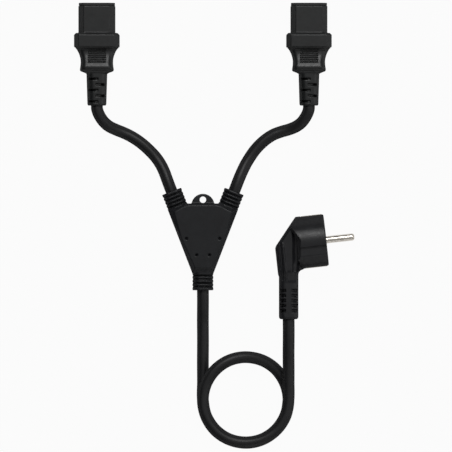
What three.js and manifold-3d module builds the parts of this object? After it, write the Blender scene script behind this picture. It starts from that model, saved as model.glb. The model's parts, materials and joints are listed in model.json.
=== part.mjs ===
// Power cord splitter: an angled earthed plug, a mains cable with one loop, a Y-shaped junction moulding
// and two female appliance connectors on short branch cables, laid out flat.
// Millimetres, +Z up. The origin is the centre of the junction's underside, and +Y points to the connectors.
import * as THREE from "three";
import { mergeVertices } from "three/addons/utils/BufferGeometryUtils.js";
import Module from "manifold-3d";

const wasm = await Module();
wasm.setup();

// Clearances
const gap = 0.3; // between neighbouring pieces that touch
const turnGap = 0.4; // between two turns of cable that lie on each other

// Cable and cores
const cableDiameter = 8.1;
const cableSides = 10;
const coreDiameter = 2.6;
const coreSides = 6;
const coreTwistRadius = 1.75; // centre of the cable to the centre of each core
const coreBore = 7; // bore that the three cores run through in each moulding
const seat = coreDiameter / 2 + gap; // from a core's centre to what it lies on

// Junction moulding
const junctionThickness = 17;
const junctionTop = 23.95; // y of the straight top edge between the side necks
const sideNeckX = 21.15; // centre of a side neck's end face
const sideNeckY = 32.15;
const sideNeckTilt = 21.2; // degrees outward from +Y
const sideNeckWidth = 13.8;
const sideNeckHeight = 13;
const sideNeckLength = 10.4;
const bottomNeckWidth = 14.1;
const bottomNeckHeight = 13.4;
const bottomNeckLength = 11.2;
const neckCorner = 4.6;
const ribCount = 4; // grooves round each neck
const ribPitch = 2.5;
const ribGroove = 1.1;
const ribDepth = 0.8;
const ribEndMargin = 2.4; // neck's end face to the centre of its first groove
const junctionWall = 2.6;
const junctionFloor = 3;
const edgeBevel = 2.8; // height of the bevel round both faces
const shoulderBevel = 4.6; // width of that bevel beside the side necks
const sideBevel = 1.8; // and halfway down the sides
const toeBevel = 3.8; // and above the bottom neck
const browBevel = 1.3; // and along the top edge
const tabRadius = 7.8;
const tabCentreY = 22.7;
const tabThickness = 3;
const tabHoleY = 26.5;
const tabHoleDiameter = 4.4;
const pinMarkDiameter = 1.7;
const pinMarkDepth = 1.2;
const upperPinMark = [11.2, 0.3];
const lowerPinMark = [4.3, -10.8];

// Splices in the junction
const spliceDiameter = 5.8;
const spliceLength = 9;
const splicePitch = 7;
const spliceBottomY = -1;
const trayWall = 0.6;
const trayWallHeight = 5;

// Plug
const faceX = 83.1; // centre of the plug's face
const faceY = -0.6;
const plugTilt = 6.3; // degrees from +X to the pins' direction
const cupRadius = 17.7;
const cupDepth = 18.6;
const cupRim = 1.2; // rounding of the cup's rear edge
const guideDepth = 2.4; // guide channel in each flank of the cup
const guideNear = -3.3; // its two borders across the pins' plane
const guideFar = -10;
const guideLength = 17;
const pinDiameter = 4.8;
const pinReach = 19;
const pinTail = 10.2;
const pinPitch = 19;
const pinTipRound = 1.6;
const bridgeRadius = 14.6;
const bridgeThickness = 8;
const bridgeRecess = 0.6; // bridge's face behind the cup's rim
const wiringRadius = 14;
const wiringDepth = 17;
const strapWidth = 6;
const strapThickness = 0.9;
const strapFront = 1.2; // face to the clips' front ends
const strapBack = 14.4; // face to the cross bar
const earthSocketY = 10;
const earthSocketDiameter = 7;
const earthSocketBore = 5.2;
const handleTop = [62.4, 15]; // corners of the handle's back, from the cup down to the heel
const handleShoulder = [48.7, -5.6];
const handleHeel = [50.9, -25.7];
const gripThickness = 21;
const gripCorner = 3.4;
const crotchY = -20.6; // where the handle leaves the cup's underside
const crotchRadius = 3.4;
const plugReliefX = 57.85;
const plugReliefEnd = -54.15;
const plugReliefWidth = 13.1;
const plugReliefHeight = 12.6;
const plugReliefStart = -30;
const plugReliefCorner = 4.4;
const plugReliefRound = 1.6; // rounding of its lower end
const plugSlotCount = 5;
const plugSlotPitch = 3.4;
const plugSlotWidth = 2;
const plugSlotMargin = 5.8; // relief's end to the centre of its first slot
const plugSpine = 3.7; // width left between the slots
const plugSlotDepth = 1.7;
const plugWeb = 2.4; // thickness left uncut about the middle plane
const roomWidth = 13; // hollow that joins the cup to the relief's bore
const roomHeight = 14;
const roomTopY = -0.8;
const roomBottomY = -14;
const coreBend = 4; // height over which the plug's cores turn out of the bore

// Appliance connectors
const connectorX = 71.6; // each connector's centre, left and right
const connectorFrontY = 159.3;
const headWidth = 24.8;
const headHeight = 16;
const headChamfer = 3.5; // cut off the two corners of its earth side
const headCorner = 1; // cut off the other two
const headLength = 20.6;
const collarWidth = 30.6;
const collarHeight = 21;
const collarLength = 9.2;
const collarCorner = 3.1;
const gripLength = 18;
const gripFrontCorner = 3.4;
const gripRearCorner = 4.8;
const headFlare = 1.6; // length over which the head widens into the collar
const collarBevel = 1.3; // round the collar's front
const gripGrooveCount = 7;
const gripGroovePitch = 1.45;
const gripGrooveWidth = 0.6;
const gripGrooveDepth = 0.5;
const gripGrooveLength = 12;
const gripGrooveStart = 1.4; // collar to the centre of the first groove
const reliefLength = 21.4;
const reliefStartWidth = 14;
const reliefEndWidth = 12.8;
const reliefCorner = 5;
const reliefFlat = 1; // relief's height is this much less than its width at the start
const reliefRound = 0.9; // rounding of its end
const windowCount = 5;
const windowPitch = 3.8;
const windowLength = 1.5;
const windowWidth = 6.2;
const windowShift = 2.2; // windows stand left and right of the middle in turn
const windowDepth = 1.9;
const windowMargin = 3.5; // relief's start to the centre of its first window
const carrierLip = 1.7; // thickness of the carrier's front plate
const carrierInset = 0.3; // plate's edge inside the head's outline
const noseWidth = 19.4;
const noseHeight = 11.6;
const noseLength = 16.5;
const contactPitch = 7; // centre to the line and the neutral contact
const contactDrop = 2; // line and neutral below the axis, earth above it
const slotWidth = 2.6;
const slotHeight = 4.6;
const cellWidth = 4;
const cellHeight = 6;
const contactWall = 0.5;
const contactLength = 11;
const nookLength = 8.4; // hollow behind the carrier's nose, where the cores fan out
const nookHeight = 11.6;

// Route of the main cable
const loopX = 28.9; // centre of the loop
const loopY = -108.7;
const loopRadius = 28.9;
const loopTurns = 1.5;
const pointsPerTurn = 16;
const climbStart = 0.54; // turns at which the cable starts and stops climbing onto its first pass
const climbEnd = 0.88;

// Sizes that follow from those above
const cableRadius = cableDiameter / 2;
const floorHeight = cableRadius + 0.05;
const stackedHeight = floorHeight + cableDiameter + turnGap;
const tilt = THREE.MathUtils.degToRad(sideNeckTilt);
const junctionAxis = junctionThickness / 2;
const bottomNeckY = -(sideNeckY + (sideNeckWidth / 2) * Math.sin(tilt));
const plugAxis = cupRadius;
const connectorAxis = collarHeight / 2;

// Grip behind the collar: a dish, then a hump. Each entry gives the share of its length, the width and the
// height.
const gripProfile = [
  [0.03, collarWidth - 1.7, 15.4],
  [0.1, 26.9, 12.8],
  [0.2, 24.9, 12.4],
  [0.33, 23.1, 13],
  [0.48, 21.9, 14.8],
  [0.62, 21.8, 16.2],
  [0.75, 22.2, 17],
  [0.86, 22.8, 15.4],
  [0.9, 21.8, 14.6],
  [0.955, 17, reliefStartWidth + 0.2],
];

// Finishes
const softBlack = { color: 0x1d1d1f, roughness: 0.55, metalness: 0 };
const cableBlack = { color: 0x19191b, roughness: 0.5, metalness: 0 };
const hardBlack = { color: 0x161617, roughness: 0.4, metalness: 0 };
const nickel = { color: 0xc9c4ba, roughness: 0.28, metalness: 1 };
const copper = { color: 0xb87a50, roughness: 0.35, metalness: 1 };
const ivory = { color: 0xd8d2c0, roughness: 0.6, metalness: 0 };
const coreColours = {
  line: { color: 0x5a3420, roughness: 0.5, metalness: 0 },
  neutral: { color: 0x2a5fa5, roughness: 0.5, metalness: 0 },
  earth: { color: 0x8fae2e, roughness: 0.5, metalness: 0 },
};
const poles = ["line", "neutral", "earth"];

// A closed geometry as a solid that can be joined and cut
function solid(geometry, matrix = new THREE.Matrix4()) {
  const bare = geometry.clone();
  bare.deleteAttribute("normal");
  bare.deleteAttribute("uv");
  const merged = mergeVertices(bare.applyMatrix4(matrix), 1e-4);
  const vertProperties = merged.attributes.position.array;
  const triVerts = new Uint32Array(merged.index.array);
  return new wasm.Manifold(new wasm.Mesh({ numProp: 3, vertProperties, triVerts }));
}

function join(first, ...others) {
  return others.reduce((whole, other) => whole.add(other), first);
}

function cut(first, ...others) {
  return others.reduce((rest, other) => rest.subtract(other), first);
}

// The solid's faces as a geometry with flat shading
function geometryOf(shape) {
  const { vertProperties, triVerts } = shape.getMesh();
  const indexed = new THREE.BufferGeometry();
  indexed.setAttribute("position", new THREE.BufferAttribute(vertProperties, 3));
  indexed.setIndex(new THREE.BufferAttribute(triVerts, 1));
  const faceted = indexed.toNonIndexed();
  faceted.computeVertexNormals();
  return faceted;
}

function piece(name, shape, finish) {
  const geometry = shape.isBufferGeometry ? shape : geometryOf(shape);
  const mesh = new THREE.Mesh(geometry, new THREE.MeshStandardMaterial(finish));
  mesh.name = name;
  return mesh;
}

// A box between two corners
function block(low, high, matrix) {
  const size = high.map((value, i) => value - low[i]);
  const centre = high.map((value, i) => (value + low[i]) / 2);
  return solid(new THREE.BoxGeometry(...size).translate(...centre), matrix);
}

// A round bar between two points
function rod(from, to, diameter, sides = 16) {
  const start = new THREE.Vector3(...from);
  const way = new THREE.Vector3(...to).sub(start);
  const bar = new THREE.CylinderGeometry(diameter / 2, diameter / 2, way.length(), sides);
  const turn = new THREE.Quaternion().setFromUnitVectors(new THREE.Vector3(0, 1, 0), way.clone().normalize());
  bar.applyQuaternion(turn).translate(...start.addScaledVector(way, 0.5));
  return solid(bar);
}

// A closed skin through rings of equally many points
function loft(rings) {
  const sides = rings[0].length;
  const last = (rings.length - 1) * sides;
  const faces = [];
  for (let start = 0; start < last; start += sides) {
    for (let s = 0; s < sides; s++) {
      const a = start + s;
      const b = start + ((s + 1) % sides);
      faces.push(a, b, b + sides, a, b + sides, a + sides);
    }
  }
  for (let s = 1; s + 1 < sides; s++) {
    faces.push(0, s + 1, s);
    faces.push(last, last + s, last + s + 1);
  }
  const skin = new THREE.BufferGeometry().setFromPoints(rings.flat());
  skin.setIndex(faces);
  return skin;
}

// A rectangle from (left, low) to (right, high) with its corners rounded, or cut off straight.
// The lower and the upper corners have their own sizes.
function section({ left, right, low, high, corner, upperCorner = corner, straight = false, steps = 3 }) {
  const centres = [
    [right - corner, low + corner, corner],
    [right - upperCorner, high - upperCorner, upperCorner],
    [left + upperCorner, high - upperCorner, upperCorner],
    [left + corner, low + corner, corner],
  ];
  return centres.flatMap(([u, v, radius], quarter) => {
    const from = ((quarter - 1) * Math.PI) / 2;
    const points = [];
    for (let i = 0; i <= steps; i++) {
      const share = i / steps;
      const angle = from + (share * Math.PI) / 2;
      const chord = [
        THREE.MathUtils.lerp(Math.cos(from), Math.cos(from + Math.PI / 2), share),
        THREE.MathUtils.lerp(Math.sin(from), Math.sin(from + Math.PI / 2), share),
      ];
      const [c, s] = straight ? chord : [Math.cos(angle), Math.sin(angle)];
      points.push([u + radius * c, v + radius * s]);
    }
    return points;
  });
}

// The same, centred on the axis
function centredSection(width, height, corner, more = {}) {
  return section({ left: -width / 2, right: width / 2, low: -height / 2, high: height / 2, corner, ...more });
}

// Sections stacked along -Y: each entry is [y, section]
function loftDown(stations) {
  return solid(loft(stations.map(([y, points]) => points.map(([u, v]) => new THREE.Vector3(u, y, v)))));
}

// A tube along a curve through the points
function tube(points, diameter, sides, steps) {
  const round = new THREE.Shape();
  for (let i = 0; i < sides; i++) {
    const angle = (i / sides) * 2 * Math.PI;
    const x = (diameter / 2) * Math.cos(angle);
    const y = (diameter / 2) * Math.sin(angle);
    if (i) round.lineTo(x, y);
    else round.moveTo(x, y);
  }
  const extrudePath = new THREE.CatmullRomCurve3(points.map((point) => new THREE.Vector3(...point)));
  return solid(new THREE.ExtrudeGeometry(round, { steps, extrudePath }));
}

// Ribbed neck of the junction, its base at the origin and its end at -length along Y
function neck(width, height, length) {
  const wide = centredSection(width, height, neckCorner);
  const slim = centredSection(width - 2 * ribDepth, height - 2 * ribDepth, neckCorner - ribDepth);
  const stations = [[sideBevel, wide]];
  for (let i = ribCount - 1; i >= 0; i--) {
    const centre = -length + ribEndMargin + i * ribPitch;
    stations.push([centre + ribGroove / 2, wide], [centre + ribGroove / 4, slim]);
    stations.push([centre - ribGroove / 4, slim], [centre - ribGroove / 2, wide]);
  }
  stations.push([-length, wide]);
  return loftDown(stations);
}

// Places on the junction's right-hand side neck: along its axis from the end face, and across it
function besideNeck(along, across) {
  return [
    sideNeckX - along * Math.sin(tilt) + across * Math.cos(tilt),
    sideNeckY - along * Math.cos(tilt) - across * Math.sin(tilt),
  ];
}

// An outline given by its right half, from top to bottom, as a ring at one height that runs anticlockwise
function mirroredRing(rightHalf, z) {
  const left = rightHalf.map(([x, y]) => new THREE.Vector3(-x, y, z));
  const right = rightHalf.map(([x, y]) => new THREE.Vector3(x, y, z)).reverse();
  return [...left, ...right];
}

function junctionOutline() {
  const outer = besideNeck(sideNeckLength, sideNeckWidth / 2);
  const inner = besideNeck(sideNeckLength, -sideNeckWidth / 2);
  const toeY = bottomNeckY + bottomNeckLength;
  const middle = [(outer[0] * -toeY + (bottomNeckWidth / 2) * outer[1]) / (outer[1] - toeY), 0];
  const notch = [inner[0] - (inner[1] - junctionTop) * Math.tan(tilt), junctionTop];
  return { notch, inner, outer, middle, toe: [bottomNeckWidth / 2, toeY] };
}

function junctionMoulding() {
  const { notch, inner, outer, middle, toe } = junctionOutline();
  const edge = [notch, inner, outer, middle, toe];
  const face = [
    [notch[0] - browBevel, notch[1] - browBevel],
    [inner[0] + browBevel, inner[1] - browBevel - sideBevel],
    [outer[0] - shoulderBevel, outer[1] - sideBevel],
    [middle[0] - sideBevel, middle[1]],
    [toe[0] - sideBevel, toe[1] + toeBevel],
  ];
  const body = solid(
    loft([
      mirroredRing(face, 0),
      mirroredRing(edge, edgeBevel),
      mirroredRing(edge, junctionThickness - edgeBevel),
      mirroredRing(face, junctionThickness),
    ]),
  );
  const necks = [neck(bottomNeckWidth, bottomNeckHeight, bottomNeckLength).translate(0, toe[1], junctionAxis)];
  const sideNeck = neck(sideNeckWidth, sideNeckHeight, sideNeckLength);
  const [baseX, baseY] = besideNeck(sideNeckLength, 0);
  for (const side of [-1, 1]) {
    const turned = sideNeck.rotate(0, 0, 180 - side * sideNeckTilt);
    necks.push(turned.translate(side * baseX, baseY, junctionAxis));
  }
  const tabLow = junctionAxis - tabThickness / 2;
  const tabRoot = junctionTop - junctionWall + gap;
  const disc = rod([0, tabCentreY, tabLow], [0, tabCentreY, tabLow + tabThickness], 2 * tabRadius, 32);
  const tabTop = [tabRadius, tabCentreY + tabRadius, tabLow + tabThickness];
  const tab = disc.intersect(block([-tabRadius, tabRoot, tabLow], tabTop));
  const whole = join(body, ...necks, tab);
  return cut(whole, junctionHollow(), ...junctionBores(), ...pinMarks(), tabHole());
}

// Hollow for the splices, a wall's thickness inside the outline
function junctionHollow() {
  const { notch, middle, toe } = junctionOutline();
  const across = sideNeckWidth / 2 - junctionWall;
  const inside = [
    [notch[0], notch[1] - junctionWall],
    besideNeck(sideNeckLength + 1, -across),
    besideNeck(sideNeckLength + 1, across),
    [middle[0] - junctionWall, middle[1]],
    [coreBore / 2 + gap, toe[1] + junctionWall],
  ];
  const outline = new THREE.Shape(mirroredRing(inside, 0).map(({ x, y }) => new THREE.Vector2(x, y)));
  const depth = junctionThickness - 2 * junctionFloor;
  const hollow = new THREE.ExtrudeGeometry(outline, { depth, bevelEnabled: false });
  return solid(hollow.translate(0, 0, junctionFloor));
}

function junctionBores() {
  const toeY = bottomNeckY + bottomNeckLength + junctionWall + 1;
  const bores = [rod([0, bottomNeckY - 1, junctionAxis], [0, toeY, junctionAxis], coreBore)];
  const mouth = besideNeck(-1, 0);
  const deep = besideNeck(sideNeckLength + 4, 0);
  for (const side of [-1, 1]) {
    const from = [side * mouth[0], mouth[1], junctionAxis];
    bores.push(rod(from, [side * deep[0], deep[1], junctionAxis], coreBore));
  }
  return bores;
}

// Blind marks of the mould's locating pins, on both faces
function pinMarks() {
  const marks = [];
  for (const [x, y] of [upperPinMark, lowerPinMark]) {
    for (const side of [-1, 1]) {
      marks.push(rod([side * x, y, -1], [side * x, y, pinMarkDepth], pinMarkDiameter, 10));
      const top = junctionThickness;
      marks.push(rod([side * x, y, top - pinMarkDepth], [side * x, y, top + 1], pinMarkDiameter, 10));
    }
  }
  return marks;
}

function tabHole() {
  return rod([0, tabHoleY, 0], [0, tabHoleY, junctionThickness], tabHoleDiameter, 20);
}

// Insulating tray with one channel for each splice
function spliceTray() {
  const floorTop = junctionAxis - spliceDiameter / 2 - gap;
  const low = junctionFloor + gap;
  const [front, back] = [spliceBottomY, spliceBottomY + spliceLength];
  const halfWidth = 1.5 * splicePitch + trayWall / 2;
  const walls = [];
  for (let i = 0; i <= poles.length; i++) {
    const x = (i - poles.length / 2) * splicePitch;
    walls.push(block([x - trayWall / 2, front, low], [x + trayWall / 2, back, floorTop + trayWallHeight]));
  }
  return join(block([-halfWidth, front, low], [halfWidth, back, floorTop]), ...walls);
}

// Compression splice: a barrel pressed flatter at its middle
function splice() {
  const round = centredSection(spliceDiameter, spliceDiameter, spliceDiameter * 0.3, { steps: 1 });
  const pressed = centredSection(spliceDiameter, spliceDiameter * 0.7, spliceDiameter * 0.2, { steps: 1 });
  const [front, back] = [spliceBottomY, spliceBottomY + spliceLength];
  const third = spliceLength / 3;
  return loftDown([[back, round], [back - third, pressed], [front + third, pressed], [front, round]]);
}

function junctionGroup() {
  const group = new THREE.Group();
  group.add(piece("junction_moulding", junctionMoulding(), softBlack));
  group.add(piece("splice_tray", spliceTray(), ivory));
  poles.forEach((pole, i) => {
    const x = (i - 1) * splicePitch;
    const barrel = piece(`splice_crimp_${pole}`, splice(), copper);
    barrel.position.set(x, 0, junctionAxis);
    group.add(barrel);
    const turn = THREE.MathUtils.degToRad([210, 90, 330][i]);
    const offX = coreTwistRadius * Math.cos(turn);
    const offZ = junctionAxis + coreTwistRadius * Math.sin(turn);
    const end = spliceBottomY - gap;
    const way = [
      [offX, bottomNeckY + gap, offZ],
      [offX, bottomNeckY + bottomNeckLength, offZ],
      [(offX + x) / 2, (end + bottomNeckY + bottomNeckLength) / 2, (offZ + junctionAxis) / 2],
      [x, end - 3, junctionAxis],
      [x, end, junctionAxis],
    ];
    group.add(piece(`main_core_${pole}`, tube(way, coreDiameter, coreSides, 7), coreColours[pole]));
    for (const [side, name] of [[-1, "left"], [1, "right"]]) {
      const core = tube(sideCoreWay(side, x), coreDiameter, coreSides, 8);
      group.add(piece(`${name}_core_${pole}`, core, coreColours[pole]));
    }
  });
  return group;
}

// From a side neck's end to the splice at x. The left cable's cores lie in an upper layer, the right cable's
// in a lower one, so that they cross without touching.
function sideCoreWay(side, x) {
  const reach = (side * x) / splicePitch; // 1 at the nearest splice, -1 at the farthest
  const across = reach * coreTwistRadius * 0.87;
  const lift = (reach ? -0.5 : 1) * coreTwistRadius * -side;
  const layer = junctionAxis - side * seat;
  const end = spliceBottomY + spliceLength + gap;
  const place = (along, sideways, z) => {
    const [px, py] = besideNeck(along, sideways);
    return [side * px, py, z];
  };
  const turnY = end + 2.2 + (1 - reach) * (coreDiameter + gap) * 0.85;
  const way = [
    place(gap, across, junctionAxis + lift),
    place(sideNeckLength, across, junctionAxis + lift),
    place(sideNeckLength + 2.2, across * 1.75 - 0.3, THREE.MathUtils.lerp(junctionAxis + lift, layer, 0.25)),
    place(sideNeckLength + 4.5, across * 2 - 0.7, layer),
  ];
  if (reach < 1) way.push([side * (4.5 + 3.5 * reach), turnY + 1.2, layer]);
  way.push([x, end + 1.5, layer], [x, end, layer]);
  return way;
}

// Plug, in a frame at the centre of its face with axes along X, Y and Z
function plugMoulding() {
  const turn = new THREE.Matrix4().makeRotationZ(THREE.MathUtils.degToRad(plugTilt));
  const backAlongX = (x, y) => [x - faceX, y - faceY];
  const cup = cupSolid(turn);
  const handle = plugHandle(backAlongX);
  const whole = join(cup, handle);
  const hollows = [...cupHollows(turn), ...handleHollows(backAlongX)];
  return cut(whole, ...hollows, ...guideChannels(turn), ...plugSlots(backAlongX));
}

// The cup is round about the pins' direction
function cupSolid(turn) {
  const profile = [
    [0, -cupDepth],
    [cupRadius - cupRim, -cupDepth],
    [cupRadius - 0.3 * cupRim, -cupDepth + 0.3 * cupRim],
    [cupRadius, -cupDepth + cupRim],
    [cupRadius, -0.4],
    [cupRadius - 0.4, 0],
    [0, 0],
  ];
  const lathe = new THREE.LatheGeometry(profile.map(([r, x]) => new THREE.Vector2(r, x)), 48);
  lathe.rotateZ(-Math.PI / 2);
  return solid(lathe, turn);
}

// x of the handle's back at a given y
function handleBack(y) {
  const [upper, lower] = y > handleShoulder[1] ? [handleTop, handleShoulder] : [handleShoulder, handleHeel];
  return THREE.MathUtils.mapLinear(y, upper[1], lower[1], upper[0], lower[0]);
}

// Handle, grip and strain relief, stacked from the cup's far side down to the cable
function plugHandle(local) {
  const inCup = faceX - 0.65 * cupDepth;
  const left = plugReliefX - plugReliefWidth / 2;
  const right = plugReliefX + plugReliefWidth / 2;
  const rows = [
    [handleTop[1], handleTop[0], inCup, gripThickness - gripCorner, gripCorner],
    [handleShoulder[1], handleShoulder[0], inCup, gripThickness, gripCorner],
    [crotchY, handleBack(crotchY), inCup, gripThickness, gripCorner],
  ];
  for (const angle of [75, 40, 0]) {
    const turn = THREE.MathUtils.degToRad(angle);
    const y = crotchY - crotchRadius * (1 - Math.sin(turn)) - gap;
    const height = THREE.MathUtils.mapLinear(y, crotchY, plugReliefStart, gripThickness, plugReliefHeight);
    rows.push([y, handleBack(y), right + crotchRadius * (1 - Math.cos(turn)), height, gripCorner]);
  }
  rows.push([plugReliefStart, left, right, plugReliefHeight, plugReliefCorner]);
  for (const angle of [0, 45, 80]) {
    const turn = THREE.MathUtils.degToRad(angle);
    const inset = plugReliefRound * (1 - Math.cos(turn));
    const y = plugReliefEnd + plugReliefRound * (1 - Math.sin(turn));
    rows.push([y, left + inset, right - inset, plugReliefHeight - 2 * inset, plugReliefCorner - inset / 2]);
  }
  rows[rows.length - 1][0] = plugReliefEnd;
  return loftDown(
    rows.map(([y, from, to, height, corner]) => {
      const [u0, v] = local(from, y);
      const [u1] = local(to, y);
      return [v, section({ left: u0, right: u1, low: -height / 2, high: height / 2, corner })];
    }),
  );
}

// Seat of the bridge, wiring hollow, recesses of the earth clips and the slot of their cross bar
function cupHollows(turn) {
  const along = (x0, x1, radius, sides) => {
    const bar = new THREE.CylinderGeometry(radius, radius, x1 - x0, sides);
    return solid(bar.rotateZ(Math.PI / 2).translate((x0 + x1) / 2, 0, 0), turn);
  };
  const bridgeBack = bridgeRecess + bridgeThickness + gap;
  const half = strapWidth / 2 + gap;
  const inside = cupRadius - strapThickness - gap;
  const clips = [-1, 1].map((side) => {
    const [low, high] = side > 0 ? [inside, cupRadius + 1] : [-cupRadius - 1, -inside];
    return block([-strapBack - strapThickness - gap, low, -half], [1, high, half], turn);
  });
  const barSlot = block(
    [-strapBack - strapThickness - gap, -cupRadius, -half],
    [-strapBack + gap, cupRadius, half],
    turn,
  );
  const bridgeSeat = along(-bridgeBack, 1, bridgeRadius + gap, 32);
  const wiringHollow = along(-wiringDepth, 0, wiringRadius, 24);
  return [bridgeSeat, wiringHollow, barSlot, ...clips];
}

// Room behind the cup and the bore down the strain relief
function handleHollows(local) {
  const [x, reliefEnd] = local(plugReliefX, plugReliefEnd);
  const [, top] = local(0, roomTopY);
  const [, bottom] = local(0, roomBottomY);
  const room = block(
    [x - coreBore / 2, bottom, -roomHeight / 2],
    [x - coreBore / 2 + roomWidth, top, roomHeight / 2],
  );
  return [room, rod([x, reliefEnd - 1, 0], [x, bottom + 1, 0], coreBore)];
}

// Flat-bottomed guide channels in the flanks that lie in line with the pins
function guideChannels(turn) {
  const floor = Math.sqrt(cupRadius ** 2 - guideNear ** 2) - guideDepth;
  return [-1, 1].map((side) => {
    const [low, high] = side > 0 ? [floor, cupRadius + 1] : [-cupRadius - 1, -floor];
    return block([-guideLength, guideFar, low], [1, guideNear, high], turn);
  });
}

// Bending slots left and right of the relief's spine, above and below its middle web
function plugSlots(local) {
  const slots = [];
  const ordered = (a, b) => [Math.min(a, b), Math.max(a, b)];
  for (let i = 0; i < plugSlotCount; i++) {
    const [x, y] = local(plugReliefX, plugReliefEnd + plugSlotMargin + i * plugSlotPitch);
    const [front, back] = [y - plugSlotWidth / 2, y + plugSlotWidth / 2];
    for (const side of [-1, 1]) {
      const far = x + side * plugReliefWidth;
      const face = ordered(x + (side * plugSpine) / 2, far);
      const flank = ordered(x + side * (plugReliefWidth / 2 - plugSlotDepth), far);
      for (const half of [-1, 1]) {
        const shallow = ordered(half * (plugReliefHeight / 2 - plugSlotDepth), half * plugReliefHeight);
        const deep = ordered((half * plugWeb) / 2, half * plugReliefHeight);
        slots.push(block([face[0], front, shallow[0]], [face[1], back, shallow[1]]));
        slots.push(block([flank[0], front, deep[0]], [flank[1], back, deep[1]]));
      }
    }
  }
  return slots;
}

// Pin with a rounded tip, along X
function plugPin() {
  const radius = pinDiameter / 2;
  const profile = [[0, -pinTail], [radius, -pinTail], [radius, pinReach - pinTipRound]];
  for (const angle of [30, 60]) {
    const turn = THREE.MathUtils.degToRad(angle);
    profile.push([
      radius - pinTipRound * (1 - Math.cos(turn)),
      pinReach - pinTipRound * (1 - Math.sin(turn)),
    ]);
  }
  profile.push([radius - pinTipRound, pinReach], [0, pinReach]);
  const lathe = new THREE.LatheGeometry(profile.map(([r, x]) => new THREE.Vector2(r, x)), 20);
  return solid(lathe.rotateZ(-Math.PI / 2));
}

// Hard bridge that fills the cup's mouth and holds the pins and the earth socket
function plugBridge() {
  const back = -bridgeRecess - bridgeThickness;
  const disc = rod([back, 0, 0], [-bridgeRecess, 0, 0], 2 * bridgeRadius, 32);
  const pinHoles = [-1, 1].map((side) => {
    const z = (side * pinPitch) / 2;
    return rod([back - 1, 0, z], [1, 0, z], pinDiameter + 2 * gap, 20);
  });
  const socketHole = rod([back - 1, earthSocketY, 0], [1, earthSocketY, 0], earthSocketDiameter + 2 * gap, 20);
  return cut(disc, ...pinHoles, socketHole);
}

// Earth strap: two side clips, the cross bar behind the bridge, and the socket for an earth pin
function earthStrap() {
  const half = strapWidth / 2;
  const bar = block([-strapBack - strapThickness, -cupRadius, -half], [-strapBack, cupRadius, half]);
  const inside = cupRadius - strapThickness;
  const clips = [-1, 1].map((side) => {
    const [low, high] = side > 0 ? [inside, cupRadius] : [-cupRadius, -inside];
    return block([-strapBack - strapThickness, low, -half], [-strapFront, high, half]);
  });
  const sleeve = rod([-strapBack - 0.1, earthSocketY, 0], [-bridgeRecess, earthSocketY, 0], earthSocketDiameter);
  const bore = rod([-strapBack + 1, earthSocketY, 0], [1, earthSocketY, 0], earthSocketBore);
  return cut(join(bar, ...clips, sleeve), bore);
}

function plugGroup() {
  const group = new THREE.Group();
  group.position.set(faceX, faceY, plugAxis);
  group.add(piece("plug_moulding", plugMoulding(), softBlack));
  const head = new THREE.Group();
  head.rotation.z = THREE.MathUtils.degToRad(plugTilt);
  head.add(piece("plug_bridge", plugBridge(), hardBlack));
  head.add(piece("plug_earth_strap", earthStrap(), nickel));
  for (const [name, side] of [["upper", 1], ["lower", -1]]) {
    const pin = piece(`plug_pin_${name}`, plugPin(), nickel);
    pin.position.z = (side * pinPitch) / 2;
    head.add(pin);
  }
  group.add(head);
  for (const pole of poles) group.add(piece(`plug_core_${pole}`, plugCore(pole), coreColours[pole]));
  return group;
}

// From the strain relief's bore to the tail of a pin, or to the earth strap's cross bar
function plugCore(pole) {
  const rise = { line: 1, neutral: -1, earth: 0 }[pole];
  const x = plugReliefX - faceX + (rise ? 0.5 : -1) * coreTwistRadius;
  const z = rise * coreTwistRadius * 0.87;
  const end = plugReliefEnd - faceY;
  const turnY = roomBottomY - faceY;
  const target = rise ? -pinTail - gap : -strapBack - strapThickness - gap;
  const angle = THREE.MathUtils.degToRad(plugTilt);
  const onAxis = (along) => [along * Math.cos(angle), along * Math.sin(angle)];
  const lift = (rise * pinPitch) / 2;
  const [tx, ty] = onAxis(target);
  const [nx, ny] = onAxis(target - coreBend / 2);
  const way = [[x, end + gap, z], [x, turnY - coreBend, z], [x, turnY + coreBend / 2, z]];
  if (rise) {
    const [rx, ry] = onAxis(target - 1.5 * coreBend);
    way.push([x + 0.8 * coreBend, turnY + 1.65 * coreBend, rise * (z * rise + seat)], [rx, ry, lift * 0.6]);
  } else way.push([x + 0.55 * coreBend, turnY + 1.7 * coreBend, 0]);
  way.push([nx, ny, lift], [tx, ty, lift]);
  return tube(way, coreDiameter, coreSides, 10);
}

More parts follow.
